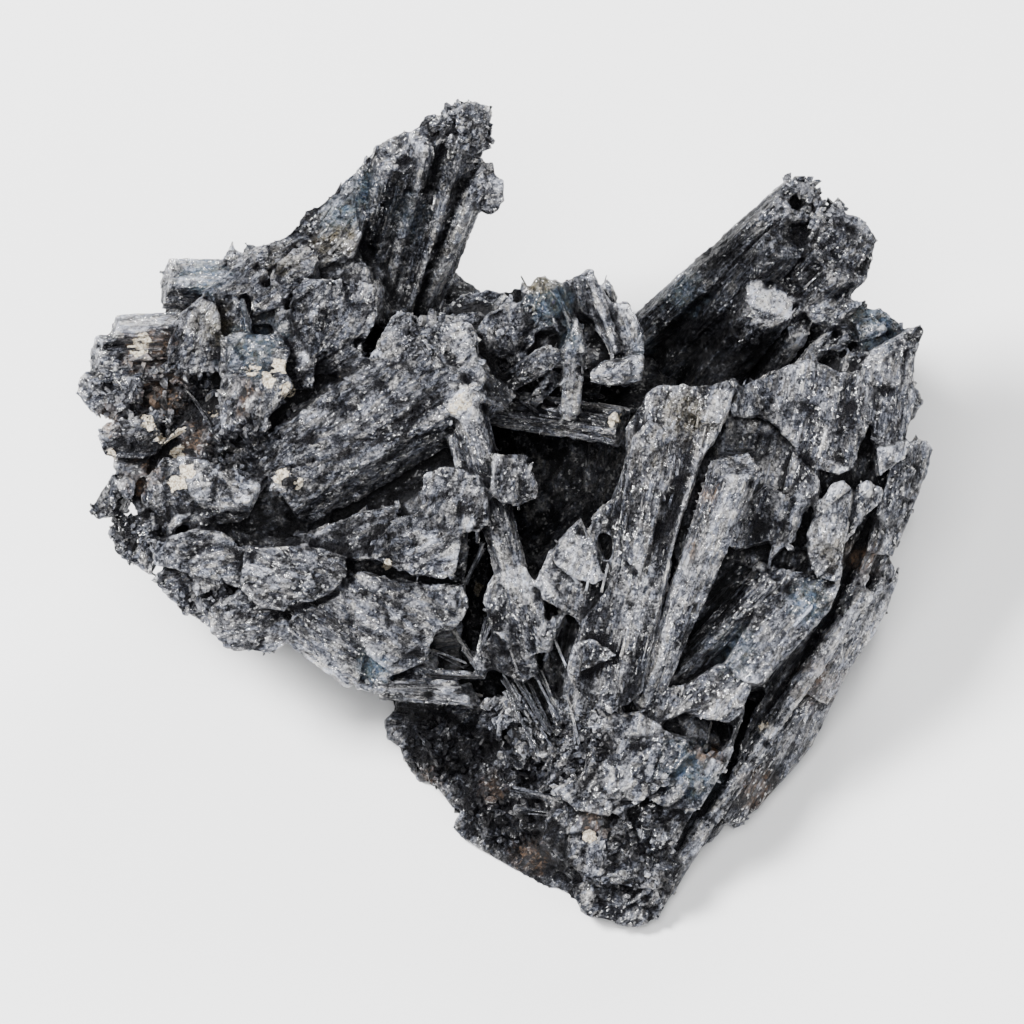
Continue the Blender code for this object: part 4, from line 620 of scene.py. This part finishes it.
def sliced(mesh, count):
    """The mesh as closed slices with about the same number of vertices each, cut across X."""
    places = np.empty(len(mesh.vertices) * 3)
    mesh.vertices.foreach_get("co", places)
    cuts = [float(np.quantile(places[::3], k / count)) + OFF_VERTEX for k in range(1, count)]
    rest = bmesh.new()
    rest.from_mesh(mesh)
    slices = []
    for k in range(count):
        piece = rest.copy() if k < count - 1 else rest
        if k < count - 1:
            for part, keep in ((piece, "clear_outer"), (rest, "clear_inner")):
                found = bmesh.ops.bisect_plane(part, geom=part.verts[:] + part.edges[:] + part.faces[:],
                                               plane_co=(cuts[k], 0, 0), plane_no=(1, 0, 0), **{keep: True})
                edges = [g for g in found["geom_cut"] if isinstance(g, bmesh.types.BMEdge)]
                bmesh.ops.triangle_fill(part, use_beauty=False, edges=edges, normal=(1, 0, 0))
                for edge in edges:
                    edge.smooth = False
        out = bpy.data.meshes.new(f"manganite_slice_{k}")
        piece.to_mesh(out)
        piece.free()
        slices.append(out)
    return slices


class Nodes:
    """Short names for building a node tree."""

    def __init__(self, material):
        self.tree = material.node_tree
        self.shader = self.tree.nodes["Principled BSDF"]

    def new(self, kind, **settings):
        node = self.tree.nodes.new(kind)
        for name, value in settings.items():
            setattr(node, name, value)
        return node

    def link(self, a, b):
        self.tree.links.new(a, b)

    def attribute(self, name, output="Fac"):
        return self.new("ShaderNodeAttribute", attribute_name=name).outputs[output]

    def noise(self, vector, scale, detail, roughness=0.6):
        node = self.new("ShaderNodeTexNoise")
        node.inputs["Scale"].default_value = scale
        node.inputs["Detail"].default_value = detail
        node.inputs["Roughness"].default_value = roughness
        self.link(vector, node.inputs["Vector"])
        return node.outputs["Fac"]

    def cells(self, vector, scale):
        """Blocky cells, each with a colour of its own."""
        node = self.new("ShaderNodeTexVoronoi", distance="CHEBYCHEV")
        node.inputs["Scale"].default_value = scale
        self.link(vector, node.inputs["Vector"])
        return node.outputs["Color"]

    def channel(self, colour, which=0):
        """One of the colour's three numbers."""
        node = self.new("ShaderNodeSeparateColor")
        self.link(colour, node.inputs[0])
        return node.outputs[which]

    def swing(self, value, amount, middle=0.5):
        """The value's distance from its middle, times an amount."""
        return self.maths("MULTIPLY", self.maths("SUBTRACT", value, middle), amount)

    def total(self, first, *others):
        """The sum of the values."""
        for other in others:
            first = self.maths("ADD", first, other)
        return first

    def tilted(self, normal, colour, amount):
        """The normal, turned a different way in each cell."""
        away = self.new("ShaderNodeVectorMath", operation="SUBTRACT")
        self.link(colour, away.inputs[0])
        away.inputs[1].default_value = (0.5, 0.5, 0.5)
        scaled = self.new("ShaderNodeVectorMath", operation="SCALE")
        self.link(away.outputs[0], scaled.inputs[0])
        scaled.inputs["Scale"].default_value = amount
        added = self.new("ShaderNodeVectorMath", operation="ADD")
        self.link(normal, added.inputs[0])
        self.link(scaled.outputs[0], added.inputs[1])
        unit_length = self.new("ShaderNodeVectorMath", operation="NORMALIZE")
        self.link(added.outputs[0], unit_length.inputs[0])
        return unit_length.outputs[0]

    def stretched(self, vector, factors):
        node = self.new("ShaderNodeVectorMath", operation="MULTIPLY")
        self.link(vector, node.inputs[0])
        node.inputs[1].default_value = factors
        return node.outputs["Vector"]

    def ramp(self, value, *stops):
        """A colour that changes from stop to stop as the value grows."""
        node = self.new("ShaderNodeValToRGB")
        ramp = node.color_ramp
        while len(ramp.elements) < len(stops):
            ramp.elements.new(0.5)
        for element, (place, colour) in zip(ramp.elements, stops):
            element.position = place
            element.color = (*colour, 1)
        self.link(value, node.inputs["Fac"])
        return node.outputs["Color"]

    def grey(self, value, low, high, a=0.0, b=1.0):
        """Low where the value is a, high where it is b, and evenly between them."""
        node = self.new("ShaderNodeMapRange")
        self.link(value, node.inputs["Value"])
        for name, number in (("From Min", a), ("From Max", b), ("To Min", low), ("To Max", high)):
            node.inputs[name].default_value = number
        return node.outputs["Result"]

    def maths(self, operation, a, b):
        node = self.new("ShaderNodeMath", operation=operation)
        for entry, value in zip(node.inputs, (a, b)):
            if isinstance(value, (int, float)):
                entry.default_value = value
            else:
                self.link(value, entry)
        return node.outputs[0]

    def bump(self, height, normal, strength, distance):
        node = self.new("ShaderNodeBump")
        node.inputs["Strength"].default_value = strength
        node.inputs["Distance"].default_value = distance
        self.link(height, node.inputs["Height"])
        self.link(normal, node.inputs["Normal"])
        return node.outputs["Normal"]

    def times(self, a, b):
        node = self.new("ShaderNodeMix", data_type="RGBA", blend_type="MULTIPLY")
        node.inputs[0].default_value = 1.0
        self.link(a, node.inputs[6])
        self.link(b, node.inputs[7])
        return node.outputs[2]

    def mix(self, factor, a, b):
        node = self.new("ShaderNodeMix", data_type="RGBA")
        for entry, value in ((node.inputs[0], factor), (node.inputs[6], a), (node.inputs[7], b)):
            if isinstance(value, tuple):
                entry.default_value = (*value, 1)
            else:
                self.link(value, entry)
        return node.outputs[2]


def textures(n):
    """What the colour, the shine and the bumps are made from: the mesh's own values, noises and cells."""
    names = ("striated", "grooves", "tone_and_painted_light", "edge_highlight_crease_shade", "hollow", "sparkle", "blue", "gold", "rust", "cream")
    found = {name: n.attribute(name) for name in names}
    crystal = n.attribute("crystal", "Vector")
    place = n.new("ShaderNodeTexCoord").outputs["Object"]
    found["streaks"] = n.noise(n.stretched(crystal, (6.0, 6.0, 0.32)), 1.0, 3, 0.75)
    found["grain"] = n.noise(place, 6500, 2, 0.8)
    found["coarse"] = n.noise(place, 2500, 3, 0.75)
    found["tarnish"] = n.noise(crystal, 1.6, 3)
    found["chip_cells"] = n.cells(n.stretched(crystal, (1.1, 1.1, 0.45)), 2.9)
    found["flake_cells"] = n.cells(n.stretched(crystal, (1, 1, 0.7)), 7.0)
    found["chips"] = n.channel(found["chip_cells"])
    found["flakes"] = n.channel(found["flake_cells"])
    return found


def clean_metal(n, t, light):
    """The grey of clean manganite, from nearly black in the grooves to pale on the ridges, with painted shade
    in the grooves, pits and creases.
    """
    colour = n.ramp(light, (0.30, (0.005, 0.005, 0.006)), (0.43, (0.026, 0.027, 0.031)),
                    (0.53, (0.078, 0.080, 0.088)), (0.63, (0.19, 0.194, 0.207)),
                    (0.80, (0.52, 0.525, 0.54)))
    # painted shade: nearly black low in the grooves and pits
    colour = n.mix(n.grey(t["grooves"], 0.8, 0.0, 0.12, 0.40), colour, (0.004, 0.004, 0.005))
    # painted shade: nearly black in creases and cavities
    return n.mix(n.grey(t["edge_highlight_crease_shade"], 0.85, 0.0, 0.04, 0.32), colour, (0.003, 0.003, 0.004))


def stained(n, t, light, colour):
    """The colour with its blue and golden tarnish, its rust, and a warmer or cooler tint in each chip."""
    blue = n.ramp(t["tarnish"], (0.35, (0.02, 0.06, 0.13)), (0.5, (0.05, 0.10, 0.13)),
                  (0.62, (0.10, 0.09, 0.04)), (0.75, (0.05, 0.04, 0.10)))
    blue = n.mix(n.grey(light, 0.75, 0.0, 0.45, 0.75), (0.30, 0.34, 0.40), blue)
    gold = n.mix(n.grey(light, 0.0, 1.0, 0.4, 0.7), (0.035, 0.028, 0.012), (0.27, 0.23, 0.13))
    rust = n.mix(n.grey(t["flakes"], 0.0, 1.0, 0.2, 0.9), (0.022, 0.013, 0.008), (0.20, 0.115, 0.060))
    torn = n.grey(t["coarse"], 0.15, 0.8, 0.35, 0.6)
    colour = n.mix(n.maths("MULTIPLY", t["blue"], torn), colour, blue)
    colour = n.mix(n.maths("MULTIPLY", t["gold"], torn), colour, gold)
    colour = n.mix(n.maths("MULTIPLY", t["rust"], n.grey(t["chips"], 0.05, 0.9, 0.35, 0.75)), colour, rust)
    return n.times(colour, n.mix(n.channel(t["chip_cells"], 1), (0.93, 0.97, 1.09), (1.06, 1.01, 0.92)))


def bumps(n, t):
    """The surface's normal: each chip and flake turned its own way, streaks and grains over them."""
    height = n.maths("ADD", n.maths("MULTIPLY", t["streaks"], n.grey(t["striated"], 0.3, 1.1)),
                     n.maths("MULTIPLY", t["coarse"], n.grey(t["striated"], 1.2, 0.5)))
    surface_way = n.new("ShaderNodeNewGeometry").outputs["Normal"]
    turned = n.tilted(n.tilted(surface_way, t["chip_cells"], 0.30), t["flake_cells"], 0.45)
    streaked = n.bump(height, turned, 1.0, 0.28e-3)
    return n.bump(n.maths("ADD", t["grain"], n.maths("MULTIPLY", t["flakes"], 0.5)), streaked, 0.9, 0.07e-3)


def manganite_looks():
    material = bpy.data.materials.new("manganite_looks")
    material.use_nodes = True
    n = Nodes(material)
    t = textures(n)
    chipped = n.maths("MULTIPLY", n.swing(t["chips"], 0.18), n.grey(t["striated"], 1.0, 0.45))
    lined = n.maths("MULTIPLY", n.swing(t["streaks"], 1.15), n.grey(t["striated"], 0.0, 0.5))
    # lightness with painted light: grooves and creases darker, ridges and edges lighter, and the broad
    # painted light and shade patches
    light = n.total(lined, n.swing(t["coarse"], 0.32), n.swing(t["grain"], 0.45), chipped,
                    n.swing(t["flakes"], 0.17), n.swing(t["tone_and_painted_light"], 0.34), n.swing(t["grooves"], 0.20),
                    n.swing(t["edge_highlight_crease_shade"], 0.27, 0.57), 0.54)
    colour = stained(n, t, light, clean_metal(n, t, light))
    # painted glints: pale specks in the colour on a few flakes where the surface is light
    painted_glint = n.maths("MULTIPLY", n.grey(t["flakes"], 0.0, 1.0, 0.90, 0.92),
                    n.grey(light, 0.0, 1.0, 0.40, 0.56))
    colour = n.mix(n.maths("MULTIPLY", painted_glint, t["sparkle"]), colour, (0.78, 0.78, 0.77))
    crust = n.mix(n.grey(t["grain"], 0.0, 1.0, 0.38, 0.6), (0.24, 0.18, 0.11), (0.74, 0.68, 0.56))
    crusted = n.total(t["cream"], n.swing(t["chips"], 0.5), n.swing(t["coarse"], 1.6))
    crusted = n.grey(crusted, 0.0, 1.0, 0.60, 0.66)
    colour = n.mix(crusted, colour, crust)
    # painted shade: the colour goes nearly black deep in the hollows
    colour = n.mix(n.maths("MULTIPLY", t["hollow"], 0.86), colour, (0.0025, 0.0025, 0.003))
    # crust and rust are dull and rough; the painted shade in the hollows is made dull and rough too
    crust_rust_and_painted_shade = n.maths("MAXIMUM", crusted, n.maths("MAXIMUM", t["rust"], t["hollow"]))
    metallic = n.maths("SUBTRACT", 0.88, n.maths("MULTIPLY", crust_rust_and_painted_shade, 0.85))
    rough = n.maths("SUBTRACT", n.grey(t["grain"], 0.26, 0.52, 0.35, 0.65), n.maths("MULTIPLY", painted_glint, 0.22))
    rough = n.maths("ADD", rough, n.maths("MULTIPLY", crust_rust_and_painted_shade, 0.3))
    # painted shade: less specular shine deep in the hollows
    specular = n.maths("SUBTRACT", 0.5, n.maths("MULTIPLY", t["hollow"], 0.45))
    for name, value in (("Base Color", colour), ("Metallic", metallic), ("Roughness", rough),
                        ("Specular IOR Level", specular), ("Normal", bumps(n, t))):
        n.link(value, n.shader.inputs[name])
    return material


def plain(name, colour, roughness):
    material = bpy.data.materials.new(name)
    material.use_nodes = True
    shader = material.node_tree.nodes["Principled BSDF"]
    shader.inputs["Base Color"].default_value = (*colour, 1)
    shader.inputs["Roughness"].default_value = roughness
    return material


def studio():
    bpy.ops.mesh.primitive_plane_add(size=FLOOR_SIZE, location=(0, 0, -FLOOR_DROP))
    floor = bpy.context.object
    floor.name = "studio_floor"
    floor.data.materials.append(plain("studio_floor", FLOOR_GREY, 0.9))

    for name, place, size, power in LAMPS:
        data = bpy.data.lights.new(name, "AREA")
        data.shape = "SQUARE"
        data.size = size
        data.energy = power
        lamp = bpy.data.objects.new(name, data)
        bpy.context.scene.collection.objects.link(lamp)
        lamp.location = place
        lamp.rotation_euler = (Vector(LAMP_AIM) - Vector(place)).to_track_quat("-Z", "Y").to_euler()
    world = bpy.data.worlds.new("studio")
    world.use_nodes = True
    sky = world.node_tree.nodes["Background"]
    sky.inputs["Color"].default_value = SKY_COLOUR
    sky.inputs["Strength"].default_value = SKY_STRENGTH
    bpy.context.scene.world = world


def photo_camera():
    data = bpy.data.cameras.new("photo_camera")
    data.sensor_width = SENSOR_WIDTH
    data.lens = SENSOR_WIDTH * CAMERA_DISTANCE * 1000 / PHOTO_WIDTH_MM
    data.clip_start = 0.05
    data.clip_end = 20
    camera = bpy.data.objects.new("photo_camera", data)
    bpy.context.scene.collection.objects.link(camera)
    place = from_face(np.array([(*CAMERA_AIM_MM, CAMERA_DISTANCE * 1000)]))[0]
    camera.location = place
    camera.rotation_euler = (FACE_TILT, 0, 0)
    bpy.context.scene.camera = camera


def show(name, mesh, material):
    """Puts a finished mesh in the scene as part of the cluster."""
    mesh.materials.append(material)
    shown = bpy.data.objects.new(name, mesh)
    bpy.context.scene.collection.objects.link(shown)
    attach(shown, "root")
    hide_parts("manganite_cluster")


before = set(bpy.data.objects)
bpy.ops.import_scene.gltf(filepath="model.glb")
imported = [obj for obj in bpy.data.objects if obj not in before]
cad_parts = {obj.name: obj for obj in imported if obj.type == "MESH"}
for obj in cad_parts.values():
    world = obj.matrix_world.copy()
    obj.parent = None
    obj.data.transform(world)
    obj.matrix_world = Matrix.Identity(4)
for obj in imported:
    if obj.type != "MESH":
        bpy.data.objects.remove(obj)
cad_box = shown_box()
lowest, highest = cad_box
fine_mesh = remeshed(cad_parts["manganite_cluster"])
surface = relief(fine_mesh, lowest, highest)
looks = manganite_looks()
for k, slice_mesh in enumerate(sliced(fine_mesh, PIECES)):
    slice_mesh.shade_smooth()
    show(f"crystals_{k}", slice_mesh, looks)
show("small_crystals", small_crystals(surface, lowest, highest, SMALL_CRYSTALS), looks)
show("laths", laths(surface, lowest, highest, LATHS), looks)
show("needles", needles(surface), looks)
studio()
photo_camera()
